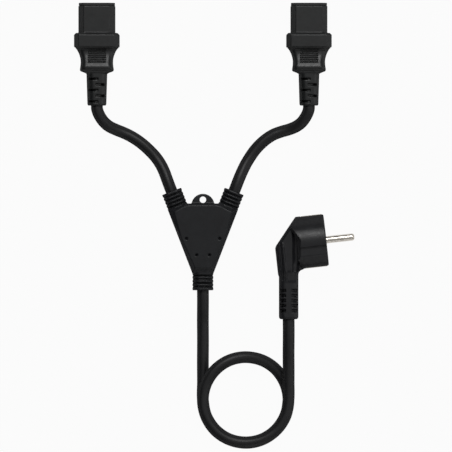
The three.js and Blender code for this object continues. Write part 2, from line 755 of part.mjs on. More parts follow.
// Connector, in a frame at the centre of its front face. Its front faces +Y and its earth side is up.
function connectorMoulding() {
  const front = -carrierLip - gap;
  const collarFront = -headLength;
  const collarBack = collarFront - collarLength;
  const gripBack = collarBack - gripLength;
  const reliefEnd = gripBack - reliefLength;
  const collar = (shrink) =>
    centredSection(collarWidth - shrink, collarHeight - shrink, collarCorner, { straight: true });
  const relief = (shrink) => {
    const width = reliefEndWidth - shrink;
    return centredSection(width, width - reliefFlat, reliefCorner - shrink / 2);
  };
  const body = loftDown([
    [front, headSection(0)],
    [collarFront + headFlare, headSection(0)],
    [collarFront + 2 * gap, headSection(headFlare / 2)],
    [collarFront + gap, collar(2 * collarBevel)],
    [collarFront - collarBevel + gap, collar(0)],
    [collarBack, collar(0)],
    ...gripProfile.map(([share, width, height]) => {
      const corner = THREE.MathUtils.lerp(gripFrontCorner, gripRearCorner, share);
      return [collarBack - share * gripLength, centredSection(width, height, corner)];
    }),
    [gripBack, centredSection(reliefStartWidth, reliefStartWidth - reliefFlat, reliefCorner)],
    [reliefEnd + reliefRound, relief(0)],
    [reliefEnd, relief(reliefRound)],
  ]);
  const nookBack = -carrierLip - noseLength - nookLength;
  const [w, h] = [noseWidth / 2 + gap, noseHeight / 2 + gap];
  const hollows = [
    block([-w, nookBack + nookLength - gap, -h], [w, 1, h]),
    block([-noseWidth / 2, nookBack, -nookHeight / 2], [noseWidth / 2, nookBack + nookLength, nookHeight / 2]),
    rod([0, reliefEnd - 1, 0], [0, nookBack + 1, 0], coreBore),
  ];
  return cut(body, ...hollows, ...gripGrooves(collarBack), ...reliefWindows(gripBack));
}

// Outline of the head, with the two corners of its earth side cut off
function headSection(grow) {
  const more = { upperCorner: headChamfer, straight: true };
  return centredSection(headWidth + grow, headHeight + grow, headCorner, more);
}

// Height of the grip's face above the axis, at a distance behind the collar
function gripSurface(behind) {
  const share = behind / gripLength;
  const next = gripProfile.findIndex(([at]) => at > share);
  const [[from, , low], [to, , high]] = [gripProfile[next - 1], gripProfile[next]];
  return THREE.MathUtils.mapLinear(share, from, to, low, high) / 2;
}

// Fine grooves across the grip, above and below
function gripGrooves(collarBack) {
  const grooves = [];
  for (let i = 0; i < gripGrooveCount; i++) {
    const behind = gripGrooveStart + i * gripGroovePitch;
    const y = collarBack - behind;
    const bottom = gripSurface(behind) - gripGrooveDepth;
    for (const face of [-1, 1]) {
      const z = [face * bottom, face * (bottom + 3)];
      const half = gripGrooveLength / 2;
      const low = [-half, y - gripGrooveWidth / 2, Math.min(...z)];
      grooves.push(block(low, [half, y + gripGrooveWidth / 2, Math.max(...z)]));
    }
  }
  return grooves;
}

// Windows of the strain relief, in turn left and right of the middle, and the other way round underneath
function reliefWindows(gripBack) {
  const windows = [];
  for (let i = 0; i < windowCount; i++) {
    const y = gripBack - windowMargin - i * windowPitch;
    const side = i % 2 ? 1 : -1;
    for (const face of [-1, 1]) {
      const x = face * side * windowShift;
      const z = [face * (reliefStartWidth / 2 - 0.6 - windowDepth), face * reliefStartWidth];
      const low = [x - windowWidth / 2, y - windowLength / 2, Math.min(...z)];
      windows.push(block(low, [x + windowWidth / 2, y + windowLength / 2, Math.max(...z)]));
    }
  }
  return windows;
}

// Where each contact stands in the connector's face
function contactPlace(pole) {
  const x = { line: -contactPitch, neutral: contactPitch, earth: 0 }[pole];
  return [x, pole === "earth" ? contactDrop : -contactDrop];
}

// Insert with the front plate, three slots and a cell behind each
function contactCarrier() {
  const plate = headSection(-2 * carrierInset);
  const back = -carrierLip - noseLength;
  const [w, h] = [noseWidth / 2, noseHeight / 2];
  const nose = block([-w, back, -h], [w, -carrierLip + 0.1, h]);
  const holes = poles.flatMap((pole) => {
    const [x, z] = contactPlace(pole);
    const opening = (width, height, from, to) =>
      block([x - width / 2, from, z - height / 2], [x + width / 2, to, z + height / 2]);
    return [
      opening(slotWidth, slotHeight, back, 1),
      opening(cellWidth, cellHeight, back - 1, back + contactLength + gap),
    ];
  });
  return cut(join(loftDown([[0, plate], [-carrierLip, plate]]), nose), ...holes);
}

// Folded box contact, closed at its tail where the core is crimped
function boxContact() {
  const half = [cellWidth / 2 - gap, cellHeight / 2 - gap];
  const inner = half.map((value) => value - contactWall);
  const shell = block([-half[0], 0, -half[1]], [half[0], contactLength, half[1]]);
  return cut(shell, block([-inner[0], 1.2, -inner[1]], [inner[0], contactLength + 1, inner[1]]));
}

// From a contact's tail to the end of the strain relief
function connectorCore(pole, back) {
  const turn = THREE.MathUtils.degToRad({ line: 210, neutral: 330, earth: 90 }[pole]);
  const bundle = [coreTwistRadius * Math.cos(turn), coreTwistRadius * Math.sin(turn)];
  const [x, z] = contactPlace(pole);
  const nookBack = back - nookLength;
  const reliefEnd = -headLength - collarLength - gripLength - reliefLength;
  const way = [
    [x, back - gap, z],
    [x, back - 2, z],
    [bundle[0] * 1.1, nookBack + 1, bundle[1]],
    [bundle[0], nookBack - 2, bundle[1]],
    [bundle[0], (nookBack + reliefEnd) / 2, bundle[1]],
    [bundle[0], reliefEnd + gap, bundle[1]],
  ];
  return tube(way, coreDiameter, coreSides, 12);
}

function connectorGroup(side, name) {
  const group = new THREE.Group();
  group.position.set(side * connectorX, connectorFrontY, connectorAxis);
  group.add(piece(`${name}_connector_moulding`, connectorMoulding(), softBlack));
  group.add(piece(`${name}_contact_carrier`, contactCarrier(), hardBlack));
  const back = -carrierLip - noseLength;
  for (const pole of poles) {
    const [x, z] = contactPlace(pole);
    const contact = piece(`${name}_contact_${pole}`, boxContact(), nickel);
    contact.position.set(x, back, z);
    group.add(contact);
    group.add(piece(`${name}_connector_core_${pole}`, connectorCore(pole, back), coreColours[pole]));
  }
  return group;
}

// Main cable: down from the junction, once and a half round the loop, then up to the plug. The second pass
// lies on the first.
function mainCordRoute() {
  const down = [
    [0, bottomNeckY - gap, junctionAxis],
    [0, -39, 8.3],
    [0, -47, 7],
    [0, -56, 5],
    [0, -66, 4.2],
    [0, -80, floorHeight],
    [0, -96, floorHeight],
  ];
  const loop = [];
  for (let i = 0; i <= loopTurns * pointsPerTurn; i++) {
    const turns = i / pointsPerTurn;
    const angle = Math.PI + turns * 2 * Math.PI;
    const climb = THREE.MathUtils.smoothstep(turns, climbStart, climbEnd);
    loop.push([
      loopX + loopRadius * Math.cos(angle),
      loopY + loopRadius * Math.sin(angle),
      THREE.MathUtils.lerp(floorHeight, stackedHeight, climb),
    ]);
  }
  const up = [
    [plugReliefX, -96, 13.2],
    [plugReliefX, -84, 14.6],
    [plugReliefX, -71, 16.5],
    [plugReliefX, -60, 17.5],
    [plugReliefX, plugReliefEnd - gap, plugAxis],
  ];
  return [...down, ...loop, ...up];
}

// Branch cables: out of the connector, down to the surface, across it, and up into the junction's side neck
function branchRoute(middle) {
  const side = Math.sign(middle[0][0]);
  const reliefEnd = connectorFrontY - headLength - collarLength - gripLength - reliefLength;
  const start = [side * connectorX, reliefEnd - gap, connectorAxis];
  const end = [3.5, gap].map((ahead) => {
    const [x, y] = besideNeck(-ahead, 0);
    return [side * x, y, junctionAxis];
  });
  return [start, ...middle, ...end];
}

const leftBranchMiddle = [
  [-71.55, 88.0, 10.5],
  [-71.1, 86.2, 10.3],
  [-70.3, 84.2, 9.9],
  [-68.9, 81.7, 9.3],
  [-66.8, 79.0, 8.3],
  [-63.5, 76.2, 6.9],
  [-58.6, 73.8, 5.2],
  [-53.5, 71.7, 4.3],
  [-48.6, 69.3, 4.1],
  [-43.9, 66.4, 4.1],
  [-39.6, 63.1, 4.1],
  [-35.6, 59.3, 4.1],
  [-31.9, 55.2, 4.3],
  [-28.8, 50.7, 5.1],
  [-26.3, 45.8, 6.5],
  [-24.3, 40.6, 7.9],
];

const rightBranchMiddle = [
  [71.55, 88.0, 10.5],
  [71.1, 86.2, 10.3],
  [70.3, 84.2, 9.9],
  [68.9, 81.7, 9.3],
  [66.8, 78.9, 8.3],
  [63.4, 76.2, 6.9],
  [58.3, 74.0, 5.2],
  [53.0, 72.5, 4.3],
  [47.8, 70.6, 4.1],
  [43.1, 67.7, 4.1],
  [38.9, 64.1, 4.1],
  [35.2, 60.0, 4.1],
  [32.0, 55.5, 4.3],
  [29.1, 50.8, 5.1],
  [26.6, 45.8, 6.5],
  [24.4, 40.6, 7.9],
];

function cordGroup() {
  const group = new THREE.Group();
  const cord = (name, route, steps) => piece(name, tube(route, cableDiameter, cableSides, steps), cableBlack);
  group.add(cord("main_cord", mainCordRoute(), 48));
  group.add(cord("left_branch_cord", branchRoute(leftBranchMiddle), 15));
  group.add(cord("right_branch_cord", branchRoute(rightBranchMiddle), 15));
  return group;
}

const splitter = new THREE.Group();
splitter.add(junctionGroup());
splitter.add(plugGroup());
splitter.add(connectorGroup(-1, "left"));
splitter.add(connectorGroup(1, "right"));
splitter.add(cordGroup());

export default splitter;
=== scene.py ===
"""Looks of a power cord splitter that lies flat: junction, three cables, angled plug, two connectors."""

import json
import math

import bmesh
import bpy
from mathutils import Matrix, Vector


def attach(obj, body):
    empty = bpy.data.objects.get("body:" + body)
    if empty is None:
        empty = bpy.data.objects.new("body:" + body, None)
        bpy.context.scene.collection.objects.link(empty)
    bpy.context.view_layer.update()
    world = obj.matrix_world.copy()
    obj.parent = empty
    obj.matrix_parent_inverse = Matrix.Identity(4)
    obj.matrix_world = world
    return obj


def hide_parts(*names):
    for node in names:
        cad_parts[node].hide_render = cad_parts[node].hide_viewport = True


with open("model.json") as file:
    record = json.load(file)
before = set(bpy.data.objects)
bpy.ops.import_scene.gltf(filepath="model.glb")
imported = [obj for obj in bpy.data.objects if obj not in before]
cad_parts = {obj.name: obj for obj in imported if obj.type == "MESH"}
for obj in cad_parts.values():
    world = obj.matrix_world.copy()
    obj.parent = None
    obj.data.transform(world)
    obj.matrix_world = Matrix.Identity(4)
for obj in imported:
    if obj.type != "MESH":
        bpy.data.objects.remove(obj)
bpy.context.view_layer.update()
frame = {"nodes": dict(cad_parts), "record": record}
nodes = frame["nodes"]

# Camera and routes are in metres. Mouldings are drawn in millimetres and brought to metres when done.
MM = 0.001

# Camera, straight down through a long lens
VIEW_X = 0.0156
VIEW_Y = 0.00875
VIEW_WIDTH = 0.3054
VIEW_DISTANCE = 5.0
VIEW_PLANE = 0.008

# Cables
CABLE_DIAMETER = 0.0081
CABLE_SIDES = 40
CABLE_STEP = 0.0012
CORE_LAY = 0.085  # length in which the cores under the sheath turn once
CORE_SWELL = 0.00004  # how far they lift the sheath
CABLE_TUCK = 0.0008  # how far a cable's end runs into its moulding
CABLE_FLOOR = 0.0041  # height of its axis where it lies on the floor
CABLE_STACKED = 0.0126  # and where it lies on another run
AXIS_JUNCTION = 0.0085
AXIS_CONNECTOR = 0.0105
AXIS_PLUG = 0.0177
LOOP_X = 0.0289
LOOP_Y = -0.1087
LOOP_RADIUS = 0.0289
LOOP_TURNS = 1.5
LOOP_POINTS = 16
RISING_X = 0.05785  # of the run from the loop to the plug
CLIMB_START = 0.54  # turns of the loop after which it climbs, and after which it is up
CLIMB_END = 0.88

# Finishes, as linear colours
PVC_BLACK = (0.0095, 0.0098, 0.0105)
CONNECTOR_BLACK = (0.0084, 0.0091, 0.0094)
PLUG_BLACK = (0.0104, 0.0106, 0.0122)
JUNCTION_BLACK = (0.0078, 0.0084, 0.0100)
CABLE_BLACK = (0.0115, 0.0115, 0.0124)
HARD_BLACK = (0.009, 0.0092, 0.0098)
NICKEL = (0.62, 0.585, 0.53)
COPPER = (0.62, 0.33, 0.19)
IVORY = (0.7, 0.66, 0.56)
CORE_COLOURS = {"line": (0.1, 0.035, 0.015), "neutral": (0.03, 0.13, 0.4), "earth": (0.28, 0.42, 0.03)}


# Camera

def make_camera():
    data = bpy.data.cameras.new("camera")
    data.lens = data.sensor_width * VIEW_DISTANCE / VIEW_WIDTH
    camera = bpy.data.objects.new("camera", data)
    camera.location = (VIEW_X, VIEW_Y, VIEW_PLANE + VIEW_DISTANCE)
    bpy.context.scene.collection.objects.link(camera)
    bpy.context.scene.camera = camera


# Cord routes, in metres

def smoothstep(x, low, high):
    t = min(max((x - low) / (high - low), 0), 1)
    return t * t * (3 - 2 * t)


def main_route():
    down = [
        (0, -0.03495, AXIS_JUNCTION),
        (0, -0.039, 0.0083),
        (0, -0.047, 0.007),
        (0, -0.056, 0.005),
        (0, -0.066, 0.0042),
        (0, -0.080, CABLE_FLOOR),
        (0, -0.096, CABLE_FLOOR),
    ]
    loop = []
    for i in range(int(LOOP_TURNS * LOOP_POINTS) + 1):
        turns = i / LOOP_POINTS
        angle = math.pi + turns * 2 * math.pi
        x = LOOP_X + LOOP_RADIUS * math.cos(angle)
        y = LOOP_Y + LOOP_RADIUS * math.sin(angle)
        climb = smoothstep(turns, CLIMB_START, CLIMB_END)
        loop.append((x, y, CABLE_FLOOR + (CABLE_STACKED - CABLE_FLOOR) * climb))
    up = [
        (RISING_X, -0.096, 0.0132),
        (RISING_X, -0.084, 0.0146),
        (RISING_X, -0.071, 0.0165),
        (RISING_X, -0.060, 0.0175),
        (RISING_X, -0.05445, AXIS_PLUG),
    ]
    return [*down, *loop, *up]


LEFT_ROUTE = [
    (-0.0716, 0.0898, AXIS_CONNECTOR),
    (-0.07155, 0.0880, 0.0105),
    (-0.0711, 0.0862, 0.0103),
    (-0.0703, 0.0842, 0.0099),
    (-0.0689, 0.0817, 0.0093),
    (-0.0668, 0.0790, 0.0083),
    (-0.0635, 0.0762, 0.0069),
    (-0.0586, 0.0738, 0.0052),
    (-0.0535, 0.0717, 0.0043),
    (-0.0486, 0.0693, 0.0041),
    (-0.0439, 0.0664, 0.0041),
    (-0.0396, 0.0631, 0.0041),
    (-0.0356, 0.0593, 0.0041),
    (-0.0319, 0.0552, 0.0043),
    (-0.0288, 0.0507, 0.0051),
    (-0.0263, 0.0458, 0.0065),
    (-0.0243, 0.0406, 0.0079),
    (-0.02242, 0.03541, AXIS_JUNCTION),
    (-0.02126, 0.03243, AXIS_JUNCTION),
]

RIGHT_ROUTE = [
    (0.0716, 0.0898, AXIS_CONNECTOR),
    (0.07155, 0.0880, 0.0105),
    (0.0711, 0.0862, 0.0103),
    (0.0703, 0.0842, 0.0099),
    (0.0689, 0.0817, 0.0093),
    (0.0668, 0.0789, 0.0083),
    (0.0634, 0.0762, 0.0069),
    (0.0583, 0.0740, 0.0052),
    (0.0530, 0.0725, 0.0043),
    (0.0478, 0.0706, 0.0041),
    (0.0431, 0.0677, 0.0041),
    (0.0389, 0.0641, 0.0041),
    (0.0352, 0.0600, 0.0041),
    (0.0320, 0.0555, 0.0043),
    (0.0291, 0.0508, 0.0051),
    (0.0266, 0.0458, 0.0065),
    (0.0244, 0.0406, 0.0079),
    (0.02242, 0.03541, AXIS_JUNCTION),
    (0.02126, 0.03243, AXIS_JUNCTION),
]


def through(points):
    """Close points on a centripetal Catmull-Rom curve through the route's points."""
    route = [Vector(p) for p in points]
    ahead = route[0] * 2 - route[1]
    behind = route[-1] * 2 - route[-2]
    route = [ahead, *route, behind]
    line = []
    for a, b, c, d in zip(route, route[1:], route[2:], route[3:]):
        t0, t1, t2 = (math.sqrt((q - p).length) for p, q in ((a, b), (b, c), (c, d)))
        leave = ((b - a) / t0 - (c - a) / (t0 + t1) + (c - b) / t1) * t1
        arrive = ((c - b) / t1 - (d - b) / (t1 + t2) + (d - c) / t2) * t1
        steps = max(2, round((c - b).length / CABLE_STEP))
        for k in range(steps):
            t = k / steps
            line.append(
                b * (2 * t**3 - 3 * t**2 + 1)
                + leave * (t**3 - 2 * t**2 + t)
                + c * (3 * t**2 - 2 * t**3)
                + arrive * (t**3 - t**2)
            )
    line.append(route[-2])
    return tucked(line)


def tucked(line):
    """The same line with its ends run a little way into the mouldings."""
    start = line[0] + (line[0] - line[1]).normalized() * CABLE_TUCK
    end = line[-1] + (line[-1] - line[-2]).normalized() * CABLE_TUCK
    return [start, *line, end]


def cable(name, points):
    """A round sheath along the route. Its three twisted cores show as a very faint swell."""
    line = through(points)
    across = Vector((0, 0, 1))
    along = 0.0
    rings, places = [], []
    for i, centre in enumerate(line):
        ahead = (line[min(i + 1, len(line) - 1)] - line[max(i - 1, 0)]).normalized()
        across = (across - ahead * across.dot(ahead)).normalized()
        other = ahead.cross(across)
        along += (centre - line[i - 1]).length if i else 0
        ring = []
        for s in range(CABLE_SIDES):
            turn = s / CABLE_SIDES * 2 * math.pi
            swell = CORE_SWELL * math.cos(3 * (turn - along / CORE_LAY * 2 * math.pi))
            radius = CABLE_DIAMETER / 2 - CORE_SWELL + swell
            ring.append(centre + (across * math.cos(turn) + other * math.sin(turn)) * radius)
        rings.append(ring)
        places.append(along)
    obj = skin(rings, name)
    wrap(obj.data, places)
    smooth_sides(obj.data)
    return obj


def declare_cable(obj, material, node):
    """Ties a cable to its node of the frame."""
    show(obj, material, [node])


def wrap(mesh, places):
    """Texture coordinates: round the cable in turns, and along it in metres."""
    layer = mesh.uv_layers.new(name="sheath")
    for face in mesh.polygons:
        rows = [mesh.loops[k].vertex_index // CABLE_SIDES for k in face.loop_indices]
        turns = [mesh.loops[k].vertex_index % CABLE_SIDES for k in face.loop_indices]
        seam = max(turns) == CABLE_SIDES - 1 and min(turns) == 0 and len(turns) == 4
        for k, row, turn in zip(face.loop_indices, rows, turns):
            full = CABLE_SIDES if seam and turn == 0 else turn
            layer.data[k].uv = (full / CABLE_SIDES, places[row])


def smooth_sides(mesh):
    for face in mesh.polygons:
        face.use_smooth = len(face.vertices) == 4


# Solids in millimetres

GAP = 0.3  # between pieces that fit together
OVERLAP = 0.1  # of solids that are joined
OVERRUN = 1  # of a cut past the face that it opens, and of a joined solid into its neighbour
FLAT = 0.2  # least straight stretch beside a rounded corner
SOFT_ROUNDS = 3  # how often a softened skin is smoothed


def link(name, mesh):
    obj = bpy.data.objects.new(name, mesh)
    bpy.context.scene.collection.objects.link(obj)
    return obj


def skin(rings, name="solid"):
    """A closed skin through rings of equally many points, with a flat end on the first and the last."""
    sides = len(rings[0])
    points = [tuple(p) for ring in rings for p in ring]
    faces = [tuple(range(sides)), tuple(range(len(points) - sides, len(points)))]
    for start in range(0, len(points) - sides, sides):
        for s in range(sides):
            a, b = start + s, start + (s + 1) % sides
            faces.append((a, b, b + sides, a + sides))
    mesh = bpy.data.meshes.new(name)
    mesh.from_pydata(points, [], faces)
    bm = bmesh.new()
    bm.from_mesh(mesh)
    bmesh.ops.recalc_face_normals(bm, faces=bm.faces)
    bm.to_mesh(mesh)
    bm.free()
    return link(name, mesh)


def arc(start, end, steps):
    """Angles from start to end, given in degrees."""
    return [math.radians(start + (end - start) * i / steps) for i in range(steps + 1)]


def circle(u, v, radius, sides=24):
    return [(u + radius * math.cos(t), v + radius * math.sin(t)) for t in arc(0, 360, sides)[:-1]]


def section(left, right, low, high, corner, upper=None, steps=10):
    """A rectangle with rounded corners. One step cuts the corners off straight."""
    upper = corner if upper is None else upper
    centres = (
        (right - corner, low + corner, corner),
        (right - upper, high - upper, upper),
        (left + upper, high - upper, upper),
        (left + corner, low + corner, corner),
    )
    points = []
    for quarter, (u, v, radius) in enumerate(centres):
        for i in range(steps + 1):
            angle = (quarter - 1 + i / steps) * math.pi / 2
            points.append((u + radius * math.cos(angle), v + radius * math.sin(angle)))
    return points


def centred(width, height, corner, upper=None, steps=10):
    return section(-width / 2, width / 2, -height / 2, height / 2, corner, upper, steps)


def stack(stations):
    """Sections stacked along -Y: each entry is (y, section)."""
    return skin([[(u, y, v) for u, v in points] for y, points in stations])


def block(low, high):
    x0, y0, z0 = low
    x1, y1, z1 = high
    return skin([[(x0, y0, z), (x1, y0, z), (x1, y1, z), (x0, y1, z)] for z in (z0, z1)])


def bar(start, end, diameter, sides=48, end_diameter=None):
    start, end = Vector(start), Vector(end)
    across = (end - start).orthogonal().normalized()
    other = (end - start).normalized().cross(across)
    rings = []
    for centre, width in ((start, diameter), (end, end_diameter or diameter)):
        turns = [i / sides * 2 * math.pi for i in range(sides)]
        rings.append([centre + (across * math.cos(t) + other * math.sin(t)) * width / 2 for t in turns])
    return skin(rings)


def turned(profile, sides=96):
    """A solid of revolution about X. The profile's entries are (x, radius)."""
    rings = []
    for x, radius in profile:
        turns = [i / sides * 2 * math.pi for i in range(sides)]
        rings.append([(x, radius * math.cos(t), radius * math.sin(t)) for t in turns])
    return skin(rings)


def moved(solid, matrix):
    solid.data.transform(matrix)
    return solid


def carve(body, joined=(), removed=()):
    """The body with the joined solids added and the removed ones cut out."""
    for solids, operation in ((joined, "UNION"), (removed, "DIFFERENCE")):
        for other in solids:
            step = body.modifiers.new(operation, "BOOLEAN")
            step.operation = operation
            step.solver = "EXACT"
            step.object = other
    settle(body)
    for other in (*joined, *removed):
        bpy.data.objects.remove(other)
    return body


def hollow(body, cuts):
    """The body with its inside cut out after its outside was softened."""
    return carve(body, (), [carve(cuts[0], cuts[1:])])


def settle(obj):
    """Turns an object's modifiers into its mesh."""
    graph = bpy.context.evaluated_depsgraph_get()
    mesh = bpy.data.meshes.new_from_object(obj.evaluated_get(graph), depsgraph=graph)
    obj.modifiers.clear()
    obj.data = mesh


def soften(obj, grain):
    """Rounds all edges a little, as soft PVC comes out of its mould. The grain is its voxel size."""
    remesh = obj.modifiers.new("skin", "REMESH")
    remesh.mode = "VOXEL"
    remesh.voxel_size = grain
    remesh.use_smooth_shade = True
    smooth = obj.modifiers.new("round", "SMOOTH")
    smooth.factor = 0.5
    smooth.iterations = SOFT_ROUNDS
    settle(obj)


def crisp(obj, width, segments=2):
    """Small bevels on the edges of a hard piece."""
    bevel = obj.modifiers.new("edge", "BEVEL")
    bevel.width = width
    bevel.segments = segments
    bevel.limit_method = "ANGLE"
    bevel.angle_limit = math.radians(40)
    bevel.harden_normals = True
    settle(obj)


def finish_piece(obj, name, material, replaced, matrix=Matrix.Identity(4)):
    """Names a piece, brings it from millimetres to its place in metres, and ties it to the frame."""
    obj.name = name
    obj.data.name = name
    obj.data.transform(Matrix.Scale(MM, 4) @ matrix)
    show(obj, material, replaced)
    return obj


def show(obj, material, replaced):
    obj.data.materials.clear()
    obj.data.materials.append(material)
    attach(obj, "root")
    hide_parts(*replaced)


def hermite(knots, share):
    """Values between knots of (share, value, ...) on a smooth curve through them."""
    last = len(knots) - 2
    i = next((k for k in range(last + 1) if share <= knots[k + 1][0]), last)
    before, start, end, after = (knots[min(max(k, 0), last + 1)] for k in (i - 1, i, i + 1, i + 2))
    span = end[0] - start[0]
    t = (share - start[0]) / span
    values = []
    for a, b, c, d in zip(before[1:], start[1:], end[1:], after[1:]):
        leave = (c - a) / (end[0] - before[0]) * span
        arrive = (d - b) / (after[0] - start[0]) * span
        values.append(
            b * (2 * t**3 - 3 * t**2 + 1)
            + leave * (t**3 - 2 * t**2 + t)
            + c * (3 * t**2 - 2 * t**3)
            + arrive * (t**3 - t**2)
        )
    return values


# Junction moulding

THICKNESS = 17
TOP_EDGE = 23.95
NECK_X = 21.15
NECK_Y = 32.15
NECK_TILT = math.radians(21.2)
NECK_WIDTH = 13.8
NECK_HEIGHT = 13
NECK_LENGTH = 10.4
LOW_NECK_WIDTH = 14.1
LOW_NECK_HEIGHT = 13.4
LOW_NECK_LENGTH = 11.2
LOW_NECK_Y = -(NECK_Y + NECK_WIDTH / 2 * math.sin(NECK_TILT))
NECK_CORNER = 4.6
RIB_COUNT = 4
RIB_PITCH = 2.5
RIB_GROOVE = 1.4
RIB_DEPTH = 2.4  # above and below
RIB_SIDE_DEPTH = 0.4
RIB_MARGIN = 2.4
RIB_PLACES = ((0.5, 0), (0.14, 1), (-0.14, 1), (-0.5, 0))  # share of a groove's width, and of its depth
NECK_END = ((0.5, 0.0), (0.15, 0.07), (0, 0.24))  # from the end face, and share of a groove's depth
NECK_ROOT = 1.5  # how far a neck runs into the block past its bevel
WALL = 2.6
FLOOR = 3
EDGE_BEVEL = 2.8
SHOULDER_BEVEL = 4.6
SIDE_BEVEL = 1.8
TOE_BEVEL = 3.8
BROW_BEVEL = 1.3
TAB_RADIUS = 7.8
TAB_Y = 22.7
TAB_THICKNESS = 3
TAB_HOLE_Y = 26.5
TAB_HOLE = 4.4
PIN_MARK = 2.1
PIN_MARK_POINT = 0.5
PIN_MARK_DEPTH = 2.5
PIN_MARKS = ((11.2, 0.3), (4.3, -10.8))
CORE_BORE = 7
BORE_REACH = 4  # of a side neck's bore past its root
HOLLOW_SETBACK = 1  # of the hollow behind that root
JUNCTION_GRAIN = 0.33


def beside_neck(along, across):
    """A place on the right-hand side neck: along its axis from the end face, and across it."""
    sine, cosine = math.sin(NECK_TILT), math.cos(NECK_TILT)
    return NECK_X - along * sine + across * cosine, NECK_Y - along * cosine - across * sine


def neck(width, height, length):
    """A neck with its base at the origin and its end at -length along Y, with grooves round it."""
    stations = [(SIDE_BEVEL + NECK_ROOT, 0.0)]
    for i in reversed(range(RIB_COUNT)):
        centre = -length + RIB_MARGIN + i * RIB_PITCH
        stations += [(centre + place * RIB_GROOVE, share) for place, share in RIB_PLACES]
    stations += [(-length + ahead, share) for ahead, share in NECK_END]
    rings = []
    for y, share in stations:
        beside, above = share * RIB_SIDE_DEPTH, share * RIB_DEPTH
        corner = min(NECK_CORNER - beside, height / 2 - above - FLAT)
        rings.append((y, centred(width - 2 * beside, height - 2 * above, corner)))
    return stack(rings)


def both_sides(half):
    """An outline given by its right half, from top to bottom."""
    return [(-x, y) for x, y in half] + [(x, y) for x, y in reversed(half)]


def level(outline, z):
    return [(x, y, z) for x, y in outline]


def junction_body():
    outer = beside_neck(NECK_LENGTH, NECK_WIDTH / 2)
    inner = beside_neck(NECK_LENGTH, -NECK_WIDTH / 2)
    toe = (LOW_NECK_WIDTH / 2, LOW_NECK_Y + LOW_NECK_LENGTH)
    middle = ((outer[0] * -toe[1] + toe[0] * outer[1]) / (outer[1] - toe[1]), 0)
    notch = (inner[0] - (inner[1] - TOP_EDGE) * math.tan(NECK_TILT), TOP_EDGE)
    edge = both_sides([notch, inner, outer, middle, toe])
    face = both_sides([
        (notch[0] - BROW_BEVEL, notch[1] - BROW_BEVEL),
        (inner[0] + BROW_BEVEL, inner[1] - BROW_BEVEL - SIDE_BEVEL),
        (outer[0] - SHOULDER_BEVEL, outer[1] - SIDE_BEVEL),
        (middle[0] - SIDE_BEVEL, middle[1]),
        (toe[0] - SIDE_BEVEL, toe[1] + TOE_BEVEL),
    ])
    body = skin([
        level(face, 0),
        level(edge, EDGE_BEVEL),
        level(edge, THICKNESS - EDGE_BEVEL),
        level(face, THICKNESS),
    ])
    axis = THICKNESS / 2
    low_neck = neck(LOW_NECK_WIDTH, LOW_NECK_HEIGHT, LOW_NECK_LENGTH)
    joined = [moved(low_neck, Matrix.Translation((0, toe[1], axis)))]
    base_x, base_y = beside_neck(NECK_LENGTH, 0)
    for side in (-1, 1):
        turn = Matrix.Rotation(math.pi - side * NECK_TILT, 4, "Z")
        place = Matrix.Translation((side * base_x, base_y, axis))
        joined.append(moved(neck(NECK_WIDTH, NECK_HEIGHT, NECK_LENGTH), place @ turn))
    joined.append(junction_tab(axis))
    body = carve(body, joined, marks_and_hole())
    soften(body, JUNCTION_GRAIN)
    return hollow(body, junction_hollow(notch, middle, toe, axis))


def junction_tab(axis):
    low, high = axis - TAB_THICKNESS / 2, axis + TAB_THICKNESS / 2
    root = TOP_EDGE - WALL + GAP
    start = math.asin((root - TAB_Y) / TAB_RADIUS)
    steps = 64
    turns = [start + (math.pi - 2 * start) * i / steps for i in range(steps + 1)]
    outline = [(TAB_RADIUS * math.cos(t), TAB_Y + TAB_RADIUS * math.sin(t)) for t in turns]
    return skin([level(outline, low), level(outline, high)])


def junction_hollow(notch, middle, toe, axis):
    """Room for the splices, with a bore to each neck."""
    across = NECK_WIDTH / 2 - WALL
    inside = both_sides([
        (notch[0], notch[1] - WALL),
        beside_neck(NECK_LENGTH + HOLLOW_SETBACK, -across),
        beside_neck(NECK_LENGTH + HOLLOW_SETBACK, across),
        (middle[0] - WALL, middle[1]),
        (CORE_BORE / 2 + GAP, toe[1] + WALL),
    ])
    cuts = [skin([level(inside, FLOOR), level(inside, THICKNESS - FLOOR)])]
    cuts.append(bar((0, LOW_NECK_Y - OVERRUN, axis), (0, toe[1] + WALL + OVERRUN, axis), CORE_BORE))
    mouth, deep = beside_neck(-OVERRUN, 0), beside_neck(NECK_LENGTH + BORE_REACH, 0)
    for side in (-1, 1):
        cuts.append(bar((side * mouth[0], mouth[1], axis), (side * deep[0], deep[1], axis), CORE_BORE))
    return cuts


def marks_and_hole():
    """Blind marks of the mould's pins on both faces, and the tab's hole."""
    cuts = [bar((0, TAB_HOLE_Y, 0), (0, TAB_HOLE_Y, THICKNESS), TAB_HOLE)]
    mouth = PIN_MARK + (PIN_MARK - PIN_MARK_POINT) / PIN_MARK_DEPTH * OVERRUN
    below, above = (-OVERRUN, PIN_MARK_DEPTH), (THICKNESS + OVERRUN, THICKNESS - PIN_MARK_DEPTH)
    for x, y in PIN_MARKS:
        for side in (-1, 1):
            for outside, deep in (below, above):
                start, end = (side * x, y, outside), (side * x, y, deep)
                cuts.append(bar(start, end, mouth, sides=24, end_diameter=PIN_MARK_POINT))
    return cuts


# Plug, with the pins' direction turned a little from X

